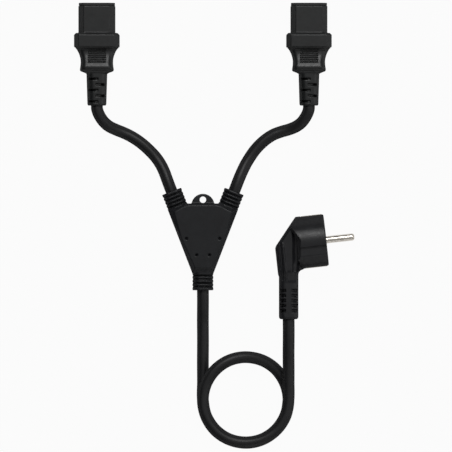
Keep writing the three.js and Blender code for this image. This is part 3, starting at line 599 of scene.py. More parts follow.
FACE = Vector((83.1, -0.6, 17.7))
PLUG_TILT = math.radians(6.3)
ON_FACE = Matrix.Translation(FACE) @ Matrix.Rotation(PLUG_TILT, 4, "Z")
CUP_RADIUS = 17.7
CUP_LENGTH = 28
CUP_BACK_TOP = (58.6, 9.0)
CUP_BACK_KNEE = (65.4, -0.7)
CUP_BACK_LOW = (65.4, -20)
CUP_FOOT_KNEE = (60.9, -1)
CUP_FOOT_LOW = (62.0, -20.6)
CUP_FOOT_RISE = 4
CUP_RIM = 0.9
# Outline that trims the cup's back, closed at these places clear of the cup
CUP_BLANK_TOP = 22
CUP_BLANK_FRONT = 90
CUP_BLANK_DROP = 3
CUP_BLANK_HALF = 18
# Hollow between handle and cup: x, y and width of its sections
GUTTER = ((59.2, 12.5, 0.8), (62.6, -0.6, 4.6), (62.9, -14, 5.2), (62.3, -22.5, 4.4))
HANDLE_TOP = (62.4, 15)
HANDLE_SHOULDER = (48.7, -5.6)
HANDLE_HEEL = (50.9, -25.7)
# Where the handle has sections above its crotch, close together along the cup's round flank
HANDLE_ROWS = (14.9, 14.4, 13.8, 13, 12.2, 11.4, 10.6, 9.8, -4.8, -6.4, -19, -19.6, -20.2)
HANDLE_TIP = 3  # half the thickness at its tip
GRIP_THICKNESS = 21
GRIP_CORNER = 3.4
CROTCH_Y = -20.6
CROTCH_RADIUS = 3.4
CROTCH_LEAD = 1.2  # above the crotch, where the handle leaves the cup
RELIEF_X = 57.85
RELIEF_START = -30
RELIEF_END = -54.15
RELIEF_WIDTH = 13.1
RELIEF_HEIGHT = 12.6
RELIEF_CORNER = 4.4
RELIEF_ROUND = 1.6
GUIDE_DEPTH = 2.4
GUIDE_NEAR = -3.3
GUIDE_FAR = -10
GUIDE_LENGTH = 19.6
SLOT_COUNT = 5
SLOT_PITCH = 3.4
SLOT_WIDTH = 2.15
SLOT_MARGIN = 5.8
SLOT_SPINE = 3.7
SLOT_CORE = 8.6
SLOT_WEB = 2.4
RECESS_START = (52.1, -2.6)
RECESS_END = (53.9, -28.4)
RECESS_WIDTH = 1.8
RECESS_SUNK = 0.6
RIB_START = (53.8, -2.6)
RIB_END = (56.3, -28.4)
RIB_WIDTH = 1.9
RIB_SUNK = 0.2
# Rods along the handle's faces that make the recess and the rib
ROD_STEPS = 16
ROD_TIP = 0.4  # share of the full width at the ends
ROD_TAPER = 4  # how fast it grows from there, over the rod's length
# Room for the cores between the cup and the relief
CORE_ROOM_TOP = -0.8
CORE_ROOM_END = -14
CORE_ROOM_LENGTH = 13
CORE_ROOM_HALF = 7
BRIDGE_RADIUS = 14.6
BRIDGE_THICKNESS = 8
BRIDGE_RECESS = 0.6
BRIDGE_EDGE = 0.4
BRIDGE_BEVEL = 0.3
WIRING_RADIUS = 14
WIRING_DEPTH = 17
STRAP_WIDTH = 6
STRAP_THICKNESS = 0.9
STRAP_FRONT = 1.2
STRAP_BACK = 14.4
STRAP_BEVEL = 0.2
EARTH_Y = 10
EARTH_DIAMETER = 7
EARTH_BORE = 5.2
EARTH_FLOOR = 1  # thickness left behind the earth socket's bore
PIN_DIAMETER = 4.8
PIN_REACH = 19
PIN_TAIL = 10.2
PIN_TAIL_EDGE = 0.3
PIN_PITCH = 19
PIN_TIP = 1.6
PLUG_GRAIN = 0.3


def cup_blank(foot):
    """The cup's back seen from above, at its foot or above it, closed clear of the cup."""
    slope = (HANDLE_TOP[0] - HANDLE_SHOULDER[0]) / (HANDLE_TOP[1] - HANDLE_SHOULDER[1])
    top = (CUP_BACK_TOP[0] + (CUP_BLANK_TOP - CUP_BACK_TOP[1]) * slope, CUP_BLANK_TOP)
    knee, low = (CUP_FOOT_KNEE, CUP_FOOT_LOW) if foot else (CUP_BACK_KNEE, CUP_BACK_LOW)
    front = [(CUP_BLANK_FRONT, low[1] - CUP_BLANK_DROP), (CUP_BLANK_FRONT, top[1])]
    return [knee, low, *front, top, CUP_BACK_TOP]


def plug_cup():
    profile = [(-CUP_LENGTH, CUP_RADIUS)]
    for turn in arc(0, 80, 5):
        profile.append((-CUP_RIM * (1 - math.sin(turn)), CUP_RADIUS - CUP_RIM * (1 - math.cos(turn))))
    cup = moved(turned(profile), ON_FACE)
    axis = FACE.z
    half = GRIP_THICKNESS / 2
    rise = half + CUP_FOOT_RISE
    heights = (-CUP_BLANK_HALF, -rise, -half, half, rise, CUP_BLANK_HALF)
    prism = skin([level(cup_blank(abs(z) == half), axis + z) for z in heights])
    step = cup.modifiers.new("back", "BOOLEAN")
    step.operation = "INTERSECT"
    step.solver = "EXACT"
    step.object = prism
    settle(cup)
    bpy.data.objects.remove(prism)
    return cup


def handle_back(y):
    corners = (HANDLE_TOP, HANDLE_SHOULDER, HANDLE_HEEL)
    upper, lower = corners[:2] if y > HANDLE_SHOULDER[1] else corners[1:]
    return lower[0] + (y - lower[1]) / (upper[1] - lower[1]) * (upper[0] - lower[0])


def handle_inside(y):
    """How far the handle runs under the cup, and below the cup, the fillet between the two."""
    if y > CROTCH_Y + CROTCH_LEAD:
        return CUP_BACK_LOW[0]
    return RELIEF_X + RELIEF_WIDTH / 2 + CROTCH_RADIUS


def handle_half(y):
    """Half the handle's thickness: inside the cup's round flank at the top, less towards the relief."""
    from_axis = y - FACE.y + (FACE.x - HANDLE_TOP[0]) * math.tan(PLUG_TILT)
    in_cup = math.sqrt(max(CUP_RADIUS**2 - from_axis**2, HANDLE_TIP**2)) if y > 0 else CUP_RADIUS
    fall = min(max((y - CROTCH_Y) / (RELIEF_START - CROTCH_Y), 0), 1)
    height = GRIP_THICKNESS + (RELIEF_HEIGHT - GRIP_THICKNESS) * (3 * fall**2 - 2 * fall**3)
    return min(in_cup - OVERLAP, height / 2)


def plug_handle():
    left, right = RELIEF_X - RELIEF_WIDTH / 2, RELIEF_X + RELIEF_WIDTH / 2
    rows = []
    for y in (*HANDLE_ROWS, CROTCH_Y):
        rows.append((y, handle_back(y), handle_inside(y), 2 * handle_half(y), GRIP_CORNER))
    for turn in arc(80, 0, 8):
        y = CROTCH_Y - CROTCH_RADIUS * (1 - math.sin(turn))
        x1 = right + CROTCH_RADIUS * (1 - math.cos(turn))
        rows.append((y, handle_back(y), x1, 2 * handle_half(y), GRIP_CORNER))
    for share in (0.25, 0.5, 0.75, 1):
        y = rows[-1][0] + (RELIEF_START - rows[-1][0]) * share
        x0 = max(left, handle_back(max(y, HANDLE_HEEL[1])))
        corner = GRIP_CORNER + (RELIEF_CORNER - GRIP_CORNER) * share
        rows.append((y, x0, right, 2 * handle_half(y), corner))
    for turn in arc(0, 80, 6):
        inset = RELIEF_ROUND * (1 - math.cos(turn))
        y = RELIEF_END + RELIEF_ROUND * (1 - math.sin(turn))
        height = RELIEF_HEIGHT - 2 * inset
        rows.append((y, left + inset, right - inset, height, RELIEF_CORNER - inset / 2))
    stations = []
    for y, x0, x1, height, corner in rows:
        corner = min(corner, height / 2 - FLAT, (x1 - x0 - FLAT) / 2)
        stations.append((y, section(x0, x1, -height / 2, height / 2, corner)))
    return moved(stack(stations), Matrix.Translation((0, 0, FACE.z)))


def plug_hollow():
    """Seat of the face, wiring room, places of the earth strap, and the bore down the relief."""
    seat_back = -BRIDGE_RECESS - BRIDGE_THICKNESS - GAP
    seat_radius = BRIDGE_RADIUS + GAP
    half = STRAP_WIDTH / 2 + GAP
    back = -STRAP_BACK - STRAP_THICKNESS - GAP
    inside = CUP_RADIUS - STRAP_THICKNESS - GAP
    cuts = [
        turned([(seat_back, seat_radius), (OVERRUN, seat_radius)]),
        turned([(-WIRING_DEPTH, WIRING_RADIUS), (0, WIRING_RADIUS)]),
        block((back, -CUP_RADIUS, -half), (-STRAP_BACK + GAP, CUP_RADIUS, half)),
        block((back, inside, -half), (OVERRUN, CUP_RADIUS + OVERRUN, half)),
        block((back, -CUP_RADIUS - OVERRUN, -half), (OVERRUN, -inside, half)),
    ]
    for cut in cuts:
        moved(cut, ON_FACE)
    axis = FACE.z
    room_x = RELIEF_X - CORE_BORE / 2
    low = (room_x, CORE_ROOM_END, axis - CORE_ROOM_HALF)
    high = (room_x + CORE_ROOM_LENGTH, CORE_ROOM_TOP, axis + CORE_ROOM_HALF)
    cuts.append(block(low, high))
    ends = (RELIEF_END - OVERRUN, CORE_ROOM_END + OVERRUN)
    cuts.append(bar((RELIEF_X, ends[0], axis), (RELIEF_X, ends[1], axis), CORE_BORE))
    return cuts


def plug_cuts():
    """Guide channels in the cup's flanks, recess and hollow on both faces, and the relief's slots."""
    floor = math.sqrt(CUP_RADIUS**2 - GUIDE_NEAR**2) - GUIDE_DEPTH
    cuts = []
    for low, high in ((floor, CUP_RADIUS + OVERRUN), (-CUP_RADIUS - OVERRUN, -floor)):
        channel = block((-GUIDE_LENGTH, GUIDE_FAR, low), (OVERRUN, GUIDE_NEAR, high))
        cuts.append(moved(channel, ON_FACE))
    for side in (-1, 1):
        cuts.append(along_handle(RECESS_START, RECESS_END, side, RECESS_SUNK, RECESS_WIDTH))
        cuts.append(gutter(side))
    return [*cuts, relief_slots()]


def relief_slots():
    """Slots in both flanks of the relief, down to its round core and a thin web."""
    axis = FACE.z
    slots = []
    for i in range(SLOT_COUNT):
        y = RELIEF_END + SLOT_MARGIN + i * SLOT_PITCH
        for side in (-1, 1):
            x0, x1 = sorted((RELIEF_X + side * SLOT_SPINE / 2, RELIEF_X + side * RELIEF_WIDTH))
            low, high = axis - RELIEF_HEIGHT, axis + RELIEF_HEIGHT
            slots.append(block((x0, y - SLOT_WIDTH / 2, low), (x1, y + SLOT_WIDTH / 2, high)))
    ends = (RELIEF_END - OVERRUN, RELIEF_START + OVERRUN)
    core = bar((RELIEF_X, ends[0], axis), (RELIEF_X, ends[1], axis), SLOT_CORE)
    web = block(
        (RELIEF_X - 2 * RELIEF_WIDTH, ends[0], axis - SLOT_WEB / 2),
        (RELIEF_X + 2 * RELIEF_WIDTH, ends[1], axis + SLOT_WEB / 2),
    )
    return carve(slots[0], slots[1:], [core, web])


def gutter(side):
    """The dark hollow between the handle's face and the back of the cup."""
    rings = []
    for x, y, width in GUTTER:
        z = FACE.z + side * handle_half(y)
        rings.append([(u, y, v) for u, v in circle(x, z, width / 2)])
    return skin(rings)


def along_handle(start, end, side, sunk, width):
    """A round rod that follows the handle's face, its middle sunk a little into it."""
    stations = []
    for i in range(ROD_STEPS + 1):
        share = i / ROD_STEPS
        x = start[0] + (end[0] - start[0]) * share
        y = start[1] + (end[1] - start[1]) * share
        z = side * (handle_half(y) - sunk)
        from_end = min(share, 1 - share)
        radius = width / 2 * min(1, ROD_TIP + ROD_TAPER * from_end)
        stations.append((y, circle(x, z, radius)))
    return moved(stack(stations), Matrix.Translation((0, 0, FACE.z)))


def plug_body():
    ribs = [along_handle(RIB_START, RIB_END, side, RIB_SUNK, RIB_WIDTH) for side in (-1, 1)]
    body = carve(plug_handle(), [plug_cup(), *ribs], plug_cuts())
    soften(body, PLUG_GRAIN)
    return hollow(body, plug_hollow())


def plug_pin(side):
    radius = PIN_DIAMETER / 2
    profile = [
        (-PIN_TAIL, radius - PIN_TAIL_EDGE),
        (-PIN_TAIL + PIN_TAIL_EDGE, radius),
        (PIN_REACH - PIN_TIP, radius),
    ]
    for turn in arc(10, 90, 8):
        x = PIN_REACH - PIN_TIP * (1 - math.sin(turn))
        profile.append((x, radius - PIN_TIP * (1 - math.cos(turn))))
    return moved(turned(profile, 64), ON_FACE @ Matrix.Translation((0, 0, side * PIN_PITCH / 2)))


def plug_bridge():
    back = -BRIDGE_RECESS - BRIDGE_THICKNESS
    disc = turned([
        (back, BRIDGE_RADIUS),
        (-BRIDGE_RECESS - BRIDGE_EDGE, BRIDGE_RADIUS),
        (-BRIDGE_RECESS, BRIDGE_RADIUS - BRIDGE_EDGE),
    ])
    start, end = back - OVERRUN, OVERRUN
    cuts = []
    for side in (-1, 1):
        z = side * PIN_PITCH / 2
        cuts.append(bar((start, 0, z), (end, 0, z), PIN_DIAMETER + 2 * GAP))
    cuts.append(bar((start, EARTH_Y, 0), (end, EARTH_Y, 0), EARTH_DIAMETER + 2 * GAP))
    return moved(carve(disc, (), cuts), ON_FACE)


def earth_strap():
    half = STRAP_WIDTH / 2
    inside = CUP_RADIUS - STRAP_THICKNESS
    back = -STRAP_BACK - STRAP_THICKNESS
    cross = block((back, -CUP_RADIUS, -half), (-STRAP_BACK, CUP_RADIUS, half))
    clips = [
        block((back, inside, -half), (-STRAP_FRONT, CUP_RADIUS, half)),
        block((back, -CUP_RADIUS, -half), (-STRAP_FRONT, -inside, half)),
        bar((-STRAP_BACK - OVERLAP, EARTH_Y, 0), (-BRIDGE_RECESS, EARTH_Y, 0), EARTH_DIAMETER),
    ]
    bore = bar((-STRAP_BACK + EARTH_FLOOR, EARTH_Y, 0), (OVERRUN, EARTH_Y, 0), EARTH_BORE)
    return moved(carve(cross, clips, [bore]), ON_FACE)


# Appliance connector, in a frame at the centre of its front face, its earth side up

CONNECTOR_X = 71.6
CONNECTOR_Y = 159.3
HEAD_WIDTH = 24.8
HEAD_HEIGHT = 16
HEAD_CHAMFER = 3.5
HEAD_CORNER = 1
HEAD_LENGTH = 20.6
COLLAR_WIDTH = 30.6
COLLAR_HEIGHT = 21
COLLAR_LENGTH = 9.2
COLLAR_CORNER = 3.1
COLLAR_BEVEL = 1.3
GRIP_LENGTH = 18
GRIP_FRONT_CORNER = 4.4
GRIP_REAR_CORNER = 3.6
HEAD_FLARE = 0.7
HEAD_SPREAD = 1  # how much wider the head is at the collar
GRIP_ROOT = (28.9, 15.4)  # the grip's section inside the collar
GRIP_STEPS = 48
CONNECTOR_GRAIN = 0.27
GROOVE_COUNT = 7
GROOVE_PITCH = 1.45
GROOVE_WIDTH = 0.75
GROOVE_DEPTH = 0.95
GROOVE_CUT = 3
GROOVE_LENGTH = 12
GROOVE_START = 1.4
BEND_LENGTH = 21.4
BEND_WIDTH = 14
BEND_END_WIDTH = 12.8
BEND_CORNER = 5
BEND_FLAT = 1  # how much less high than wide it is
BEND_ROUND = 0.9
WINDOW_COUNT = 5
WINDOW_PITCH = 3.8
WINDOW_LENGTH = 1.6
WINDOW_WIDTH = 6.2
WINDOW_SHIFT = 2.2
WINDOW_CORE = 8.7
WINDOW_WEB = 2.8
WINDOW_MARGIN = 3.5
LIP = 1.7
LIP_INSET = 0.3
INSERT_BEVEL = 0.25
NOSE_WIDTH = 19.4
NOSE_HEIGHT = 11.6
NOSE_LENGTH = 16.5
CONTACT_PITCH = 7
CONTACT_DROP = 2
CONTACT_SLOT = (2.6, 4.6)
CONTACT_CELL = (4, 6)
CONTACT_LENGTH = 11
NOOK_LENGTH = 8.4
# Grip behind the collar: share of its length, width and height
GRIP_PROFILE = (
    (0.03, 28.9, 15.2),
    (0.1, 26.9, 12.6),
    (0.2, 24.9, 12.1),
    (0.33, 23.1, 12.6),
    (0.48, 21.9, 14.1),
    (0.62, 21.8, 15.9),
    (0.74, 22.2, 17.1),
    (0.84, 22.7, 16.3),
    (0.9, 22, 14.3),
    (0.955, 17, 13.2),
)


def head_section(grow):
    """The head has larger cut corners on its earth side."""
    return centred(HEAD_WIDTH + grow, HEAD_HEIGHT + grow, HEAD_CORNER, HEAD_CHAMFER, 1)


def connector_shell():
    """Head, collar, and grip with bend relief, from three stacks, since their outlines differ."""
    collar_front = -HEAD_LENGTH
    collar_back = collar_front - COLLAR_LENGTH
    grip_back = collar_back - GRIP_LENGTH
    bend_end = grip_back - BEND_LENGTH
    head = stack([
        (-LIP - GAP, head_section(0)),
        (collar_front + HEAD_FLARE, head_section(0)),
        (collar_front + HEAD_FLARE / 2, head_section(HEAD_SPREAD / 4)),
        (collar_front, head_section(HEAD_SPREAD)),
        (collar_front - OVERRUN, head_section(HEAD_SPREAD)),
    ])
    bevel = 2 * COLLAR_BEVEL
    full = centred(COLLAR_WIDTH, COLLAR_HEIGHT, COLLAR_CORNER, steps=1)
    front = centred(COLLAR_WIDTH - bevel, COLLAR_HEIGHT - bevel, COLLAR_CORNER, steps=1)
    collar = stack([
        (collar_front + GAP, front),
        (collar_front + GAP - COLLAR_BEVEL, full),
        (collar_back, full),
    ])
    grip = [(collar_back + OVERRUN, centred(*GRIP_ROOT, GRIP_FRONT_CORNER))]
    first, last = GRIP_PROFILE[0][0], GRIP_PROFILE[-1][0]
    for i in range(GRIP_STEPS + 1):
        share = first + (last - first) * i / GRIP_STEPS
        width, height = hermite(GRIP_PROFILE, share)
        corner = GRIP_FRONT_CORNER + (GRIP_REAR_CORNER - GRIP_FRONT_CORNER) * share
        grip.append((collar_back - share * GRIP_LENGTH, centred(width, height, corner)))
    for y, width, corner in (
        (grip_back, BEND_WIDTH, BEND_CORNER),
        (bend_end + BEND_ROUND, BEND_END_WIDTH, BEND_CORNER),
        (bend_end, BEND_END_WIDTH - BEND_ROUND, BEND_CORNER - BEND_ROUND / 2),
    ):
        grip.append((y, centred(width, width - BEND_FLAT, corner)))
    body = carve(stack(grip), [collar, head], connector_cuts(collar_back, grip_back))
    soften(body, CONNECTOR_GRAIN)
    return hollow(body, connector_hollow(bend_end))


def connector_hollow(bend_end):
    nose_back = -LIP - NOSE_LENGTH
    nook_back = nose_back - NOOK_LENGTH
    w, h = NOSE_WIDTH / 2 + GAP, NOSE_HEIGHT / 2 + GAP
    return [
        block((-w, nose_back - GAP, -h), (w, OVERRUN, h)),
        block((-w + GAP, nook_back, -h + GAP), (w - GAP, nose_back + OVERRUN, h - GAP)),
        bar((0, bend_end - OVERRUN, 0), (0, nook_back + OVERRUN, 0), CORE_BORE),
    ]


def connector_cuts(collar_back, grip_back):
    """Fine grooves across both faces of the grip, and the bend relief's windows."""
    cuts = []
    for i in range(GROOVE_COUNT):
        behind = GROOVE_START + i * GROOVE_PITCH
        y = collar_back - behind
        bottom = hermite(GRIP_PROFILE, behind / GRIP_LENGTH)[1] / 2 - GROOVE_DEPTH
        for z0, z1 in ((bottom, bottom + GROOVE_CUT), (-bottom - GROOVE_CUT, -bottom)):
            low = (-GROOVE_LENGTH / 2, y - GROOVE_WIDTH / 2, z0)
            cuts.append(block(low, (GROOVE_LENGTH / 2, y + GROOVE_WIDTH / 2, z1)))
    return [*cuts, bend_windows(grip_back)]


def bend_windows(grip_back):
    """Windows in turn left and right on each face, down to the round core and a thin web."""
    windows = []
    for i in range(WINDOW_COUNT):
        y = grip_back - WINDOW_MARGIN - i * WINDOW_PITCH
        side = 1 if i % 2 else -1
        for face in (-1, 1):
            x = face * side * WINDOW_SHIFT
            z = sorted((0, face * BEND_WIDTH))
            low = (x - WINDOW_WIDTH / 2, y - WINDOW_LENGTH / 2, z[0])
            windows.append(block(low, (x + WINDOW_WIDTH / 2, y + WINDOW_LENGTH / 2, z[1])))
    ends = (grip_back - BEND_LENGTH, grip_back + OVERRUN)
    core = bar((0, ends[0], 0), (0, ends[1], 0), WINDOW_CORE)
    web = block((-BEND_WIDTH, ends[0], -WINDOW_WEB / 2), (BEND_WIDTH, ends[1], WINDOW_WEB / 2))
    return carve(windows[0], windows[1:], [core, web])


def front_insert():
    """The contact carrier: front plate and nose, with a slot and a cell for each contact."""
    plate = head_section(-2 * LIP_INSET)
    back = -LIP - NOSE_LENGTH
    w, h = NOSE_WIDTH / 2, NOSE_HEIGHT / 2
    nose = block((-w, back, -h), (w, -LIP + OVERLAP, h))
    cuts = []
    for x, z in ((-CONTACT_PITCH, -CONTACT_DROP), (CONTACT_PITCH, -CONTACT_DROP), (0, CONTACT_DROP)):
        a, b = CONTACT_SLOT[0] / 2, CONTACT_SLOT[1] / 2
        cuts.append(block((x - a, back, z - b), (x + a, OVERRUN, z + b)))
        a, b = CONTACT_CELL[0] / 2, CONTACT_CELL[1] / 2
        cell_end = back + CONTACT_LENGTH + GAP
        cuts.append(block((x - a, back - OVERRUN, z - b), (x + a, cell_end, z + b)))
    return carve(stack([(0, plate), (-LIP, plate)]), [nose], cuts)


# Materials

# Matt PVC loses its gloss at a glancing angle, given as the Layer Weight's facing
DULL_FROM = 0.15
DULL_TO = 0.55
DULL_EDGE = 0.55
# Range in which nearly all of a noise texture lies
NOISE_LOW = 0.3
NOISE_HIGH = 0.7


class Finish:
    """One procedural material and the nodes that it is made of."""

    def __init__(self, name, colour, roughness, metallic=0.0, specular=0.5, coords="Object"):
        self.material = bpy.data.materials.new(name)
        self.material.use_nodes = True
        self.tree = self.material.node_tree
        self.shader = self.tree.nodes["Principled BSDF"]
        self.shader.inputs["Metallic"].default_value = metallic
        self.shader.inputs["Specular IOR Level"].default_value = specular
        self.coords = self.tree.nodes.new("ShaderNodeTexCoord").outputs[coords]
        self.colour = colour
        self.roughness = roughness

    def link(self, source, target):
        self.tree.links.new(source, target)

    def noise(self, scale, detail=3.0, stretch=(1, 1, 1)):
        mapping = self.tree.nodes.new("ShaderNodeMapping")
        mapping.inputs["Scale"].default_value = stretch
        self.link(self.coords, mapping.inputs["Vector"])
        texture = self.tree.nodes.new("ShaderNodeTexNoise")
        texture.inputs["Scale"].default_value = scale
        texture.inputs["Detail"].default_value = detail
        self.link(mapping.outputs["Vector"], texture.inputs["Vector"])
        return texture.outputs["Fac"]

    def tint(self, factor, low, high):
        """Colour from low to high times the finish's own, over the noise's range."""
        ramp = self.tree.nodes.new("ShaderNodeValToRGB")
        places = (NOISE_LOW, NOISE_HIGH)
        for element, place, share in zip(ramp.color_ramp.elements, places, (low, high)):
            element.position = place
            element.color = (*(value * share for value in self.colour), 1)
        self.link(factor, ramp.inputs["Fac"])
        self.link(ramp.outputs["Color"], self.shader.inputs["Base Color"])

    def gloss(self, factor, spread, edge=0.0):
        """Roughness within the spread of the finish's own, plus the edge at a glancing angle."""
        ramp = self.tree.nodes.new("ShaderNodeMapRange")
        ramp.inputs["From Min"].default_value = NOISE_LOW
        ramp.inputs["From Max"].default_value = NOISE_HIGH
        ramp.inputs["To Min"].default_value = self.roughness - spread
        ramp.inputs["To Max"].default_value = self.roughness + spread
        self.link(factor, ramp.inputs["Value"])
        dull = self.tree.nodes.new("ShaderNodeMapRange")
        dull.inputs["From Min"].default_value = DULL_FROM
        dull.inputs["From Max"].default_value = DULL_TO
        dull.inputs["To Max"].default_value = edge
        weight = self.tree.nodes.new("ShaderNodeLayerWeight")
        self.link(weight.outputs["Facing"], dull.inputs["Value"])
        total = self.tree.nodes.new("ShaderNodeMath")
        self.link(ramp.outputs["Result"], total.inputs[0])
        self.link(dull.outputs["Result"], total.inputs[1])
        self.link(total.outputs[0], self.shader.inputs["Roughness"])

    def relief(self, *layers):
        """Bump from layers of (factor, height in metres, strength)."""
        normal = None
        for factor, height, strength in layers:
            bump = self.tree.nodes.new("ShaderNodeBump")
            bump.inputs["Distance"].default_value = height
            bump.inputs["Strength"].default_value = strength
            self.link(factor, bump.inputs["Height"])
            if normal:
                self.link(normal, bump.inputs["Normal"])
            normal = bump.outputs["Normal"]
        self.link(normal, self.shader.inputs["Normal"])


def moulded(name, colour, roughness, specular):
    """Soft PVC from a spark-textured mould: faint clouds, a fine grain and slow flow marks."""
    finish = Finish(name, colour, roughness, specular=specular)
    clouds = finish.noise(130, 4)
    finish.tint(clouds, 0.82, 1.22)
    finish.gloss(finish.noise(420, 3), 0.05, DULL_EDGE)
    finish.relief((finish.noise(90, 2), 0.0004, 0.12), (finish.noise(3200, 2), 0.00005, 0.35))
    return finish.material


def sheathed(name, colour, roughness, specular):
    """Extruded PVC sheath: fine lines along the cable, faint clouds and a little dust-like grain."""
    finish = Finish(name, colour, roughness, specular=specular, coords="UV")
    lines = finish.noise(40, 3, (1, 0.9, 1))
    finish.tint(finish.noise(22, 4, (0.4, 6, 1)), 0.8, 1.25)
    finish.gloss(lines, 0.06, DULL_EDGE)
    finish.relief((lines, 0.00005, 0.4), (finish.noise(60, 2, (2, 40, 1)), 0.00003, 0.3))
    return finish.material


def plated(name, colour, roughness, scratches):
    """Plated metal with fine turning scratches and slightly uneven warmth."""
    finish = Finish(name, colour, roughness, metallic=1.0)
    finish.tint(finish.noise(260, 3), 0.88, 1.08)
    finish.gloss(finish.noise(900, 3, scratches), 0.04)
    finish.relief((finish.noise(1400, 2, scratches), 0.00001, 0.2))
    return finish.material


def insulated(name, colour, roughness):
    """Thin extruded insulation or a plain moulded insulator."""
    finish = Finish(name, colour, roughness)
    finish.tint(finish.noise(300, 3), 0.85, 1.12)
    finish.gloss(finish.noise(800, 2), 0.06)
    finish.relief((finish.noise(2500, 2), 0.00003, 0.3))
    return finish.material


def make_materials():
    materials = {
        "soft_pvc": moulded("soft_pvc", PVC_BLACK, 0.38, 0.4),
        "connector_pvc": moulded("connector_pvc", CONNECTOR_BLACK, 0.36, 0.4),
        "plug_pvc": moulded("plug_pvc", PLUG_BLACK, 0.36, 0.3),
        "junction_pvc": moulded("junction_pvc", JUNCTION_BLACK, 0.36, 0.28),
        "cable_jacket": sheathed("cable_jacket", CABLE_BLACK, 0.42, 0.26),
        "hard_insert": moulded("hard_insert", HARD_BLACK, 0.36, 0.4),
        "nickel_plate": plated("nickel_plate", NICKEL, 0.24, (0.2, 1, 1)),
        "splice_copper": plated("splice_copper", COPPER, 0.34, (1, 0.25, 1)),
        "splice_tray": insulated("splice_tray", IVORY, 0.5),
    }
    for pole, colour in CORE_COLOURS.items():
        materials[f"core_{pole}"] = insulated(f"core_{pole}", colour, 0.45)
    return materials


def dress_nodes(materials):
    """Every solid of the frame gets its slot's material, whether a piece stands for it or not."""
    for subpart in frame["record"]["subparts"]:
        mesh = nodes[subpart["node"]].data
        mesh.materials.clear()
        mesh.materials.append(materials[subpart["material_slot"]])


# Pieces in their places

def make_junction(materials):
    body = junction_body()
    finish_piece(body, "junction_body", materials["junction_pvc"], ["junction_moulding"])


def make_plug(materials):
    body = plug_body()
    pieces = [finish_piece(body, "plug_body", materials["plug_pvc"], ["plug_moulding"])]
    bridge = plug_bridge()
    crisp(bridge, BRIDGE_BEVEL)
    hard, nickel = materials["hard_insert"], materials["nickel_plate"]
    pieces.append(finish_piece(bridge, "plug_face", hard, ["plug_bridge"]))
    strap = earth_strap()
    crisp(strap, STRAP_BEVEL)
    pieces.append(finish_piece(strap, "earth_clips", nickel, ["plug_earth_strap"]))
    for side, name in ((1, "upper"), (-1, "lower")):
        pin = plug_pin(side)
        crease(pin.data)
        pieces.append(finish_piece(pin, f"{name}_pin", nickel, [f"plug_pin_{name}"]))
    return [*pieces, *(nodes[f"plug_core_{pole}"] for pole in CORE_COLOURS)]


def crease(mesh):
    """Smooth shading, with sharp edges kept sharp."""
    mesh.shade_smooth()
    mesh.set_sharp_from_angle(angle=math.radians(35))


def make_connector(side, name, shell, materials):
    """Both connectors are alike, and each is brought to its own place."""
    place = Matrix.Translation((side * CONNECTOR_X, CONNECTOR_Y, COLLAR_HEIGHT / 2))
    body = link(f"{name}_shell", shell.copy())
    soft, hard = materials["connector_pvc"], materials["hard_insert"]
    shown = [f"{name}_connector_moulding"]
    pieces = [finish_piece(body, f"{name}_connector_body", soft, shown, place)]
    insert = front_insert()
    crisp(insert, INSERT_BEVEL)
    shown = [f"{name}_contact_carrier"]
    pieces.append(finish_piece(insert, f"{name}_front_insert", hard, shown, place))
    for pole in CORE_COLOURS:
        pieces += [nodes[f"{name}_contact_{pole}"], nodes[f"{name}_connector_core_{pole}"]]
    return pieces


def make_connectors(materials):
    shell = connector_shell()
    pieces = {}
    for side, name in ((-1, "left"), (1, "right")):
        pieces[name] = make_connector(side, name, shell.data, materials)
    bpy.data.objects.remove(shell)
    return pieces


# Studio

FLOOR_RADIUS = 4.0
FLOOR_SIDES = 96
FLOOR_LEVEL = -0.0001
FLOOR_WHITE = 0.2
FLOOR_ROUGHNESS = 0.9
FLOOR_GLOW = 0.96  # share of the floor that shows as plain white, the rest takes shadow
WORLD_LIGHT = 0.06
# Soft boxes that face the middle: name, place, width and height in metres, and power in watts
SOFT_BOXES = (
    ("top_box", (0.6, 0.1, 2.5), 3.0, 3.0, 14),
    ("back_box", (0.2, 1.55, 2.25), 1.4, 1.0, 34),
    ("right_box", (2.2, -0.2, 1.2), 1.8, 1.8, 10),
    ("front_box", (0.4, -2.1, 1.1), 1.6, 1.2, 6),
)


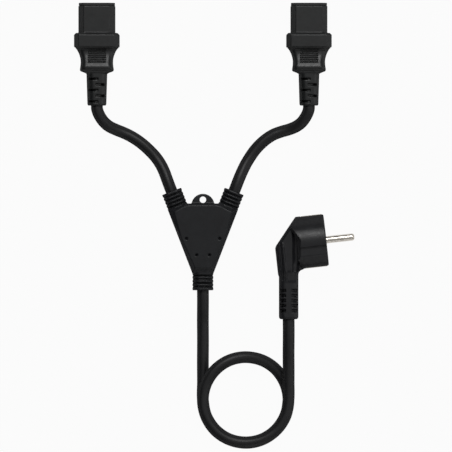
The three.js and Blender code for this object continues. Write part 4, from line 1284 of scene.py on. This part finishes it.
def make_floor():
    """A white floor for the camera and for reflections, and a dim one for all other light."""
    mesh = bpy.data.meshes.new("floor")
    edge = level(circle(0, 0, FLOOR_RADIUS, FLOOR_SIDES), FLOOR_LEVEL)
    mesh.from_pydata(edge, [], [tuple(range(FLOOR_SIDES))])
    floor = link("floor", mesh)
    material = bpy.data.materials.new("floor_white")
    material.use_nodes = True
    tree = material.node_tree
    shader = tree.nodes["Principled BSDF"]
    shader.inputs["Base Color"].default_value = (FLOOR_WHITE, FLOOR_WHITE, FLOOR_WHITE, 1)
    shader.inputs["Roughness"].default_value = FLOOR_ROUGHNESS
    shader.inputs["Specular IOR Level"].default_value = 0.0
    glow = tree.nodes.new("ShaderNodeEmission")
    glow.inputs["Strength"].default_value = 1.0
    path = tree.nodes.new("ShaderNodeLightPath")
    seen = path.outputs["Is Camera Ray"]
    for output in ("Is Glossy Ray", "Is Transmission Ray"):
        total = tree.nodes.new("ShaderNodeMath")
        total.operation = "MAXIMUM"
        tree.links.new(seen, total.inputs[0])
        tree.links.new(path.outputs[output], total.inputs[1])
        seen = total.outputs[0]
    share = tree.nodes.new("ShaderNodeMath")
    share.operation = "MULTIPLY"
    share.inputs[1].default_value = FLOOR_GLOW
    tree.links.new(seen, share.inputs[0])
    mix = tree.nodes.new("ShaderNodeMixShader")
    tree.links.new(share.outputs[0], mix.inputs["Fac"])
    tree.links.new(shader.outputs["BSDF"], mix.inputs[1])
    tree.links.new(glow.outputs["Emission"], mix.inputs[2])
    tree.links.new(mix.outputs["Shader"], tree.nodes["Material Output"].inputs["Surface"])
    mesh.materials.append(material)


def softbox(name, place, width, height, power):
    data = bpy.data.lights.new(name, "AREA")
    data.shape = "RECTANGLE"
    data.size = width
    data.size_y = height
    data.energy = power
    lamp = bpy.data.objects.new(name, data)
    lamp.location = place
    lamp.rotation_euler = (-Vector(place)).to_track_quat("-Z", "Y").to_euler()
    lamp.visible_camera = False
    bpy.context.scene.collection.objects.link(lamp)


def light_studio():
    world = bpy.data.worlds.new("studio")
    world.use_nodes = True
    world.node_tree.nodes["Background"].inputs["Color"].default_value = (1, 1, 1, 1)
    world.node_tree.nodes["Background"].inputs["Strength"].default_value = WORLD_LIGHT
    bpy.context.scene.world = world
    for box in SOFT_BOXES:
        softbox(*box)
    bpy.context.scene.view_settings.view_transform = "Standard"


make_camera()
routes = {"main": main_route(), "left_branch": LEFT_ROUTE, "right_branch": RIGHT_ROUTE}
cables = {name: cable(f"{name}_cable", points) for name, points in routes.items()}
materials = make_materials()
dress_nodes(materials)
make_junction(materials)
plug_pieces = make_plug(materials)
connector_pieces = make_connectors(materials)
far_ends = {
    "main": ("plug", plug_pieces),
    "left_branch": ("connector", connector_pieces["left"]),
    "right_branch": ("connector", connector_pieces["right"]),
}
sheath = materials["cable_jacket"]
for name, (far_end, pieces) in far_ends.items():
    declare_cable(cables[name], sheath, f"{name}_cord")
make_floor()
light_studio()
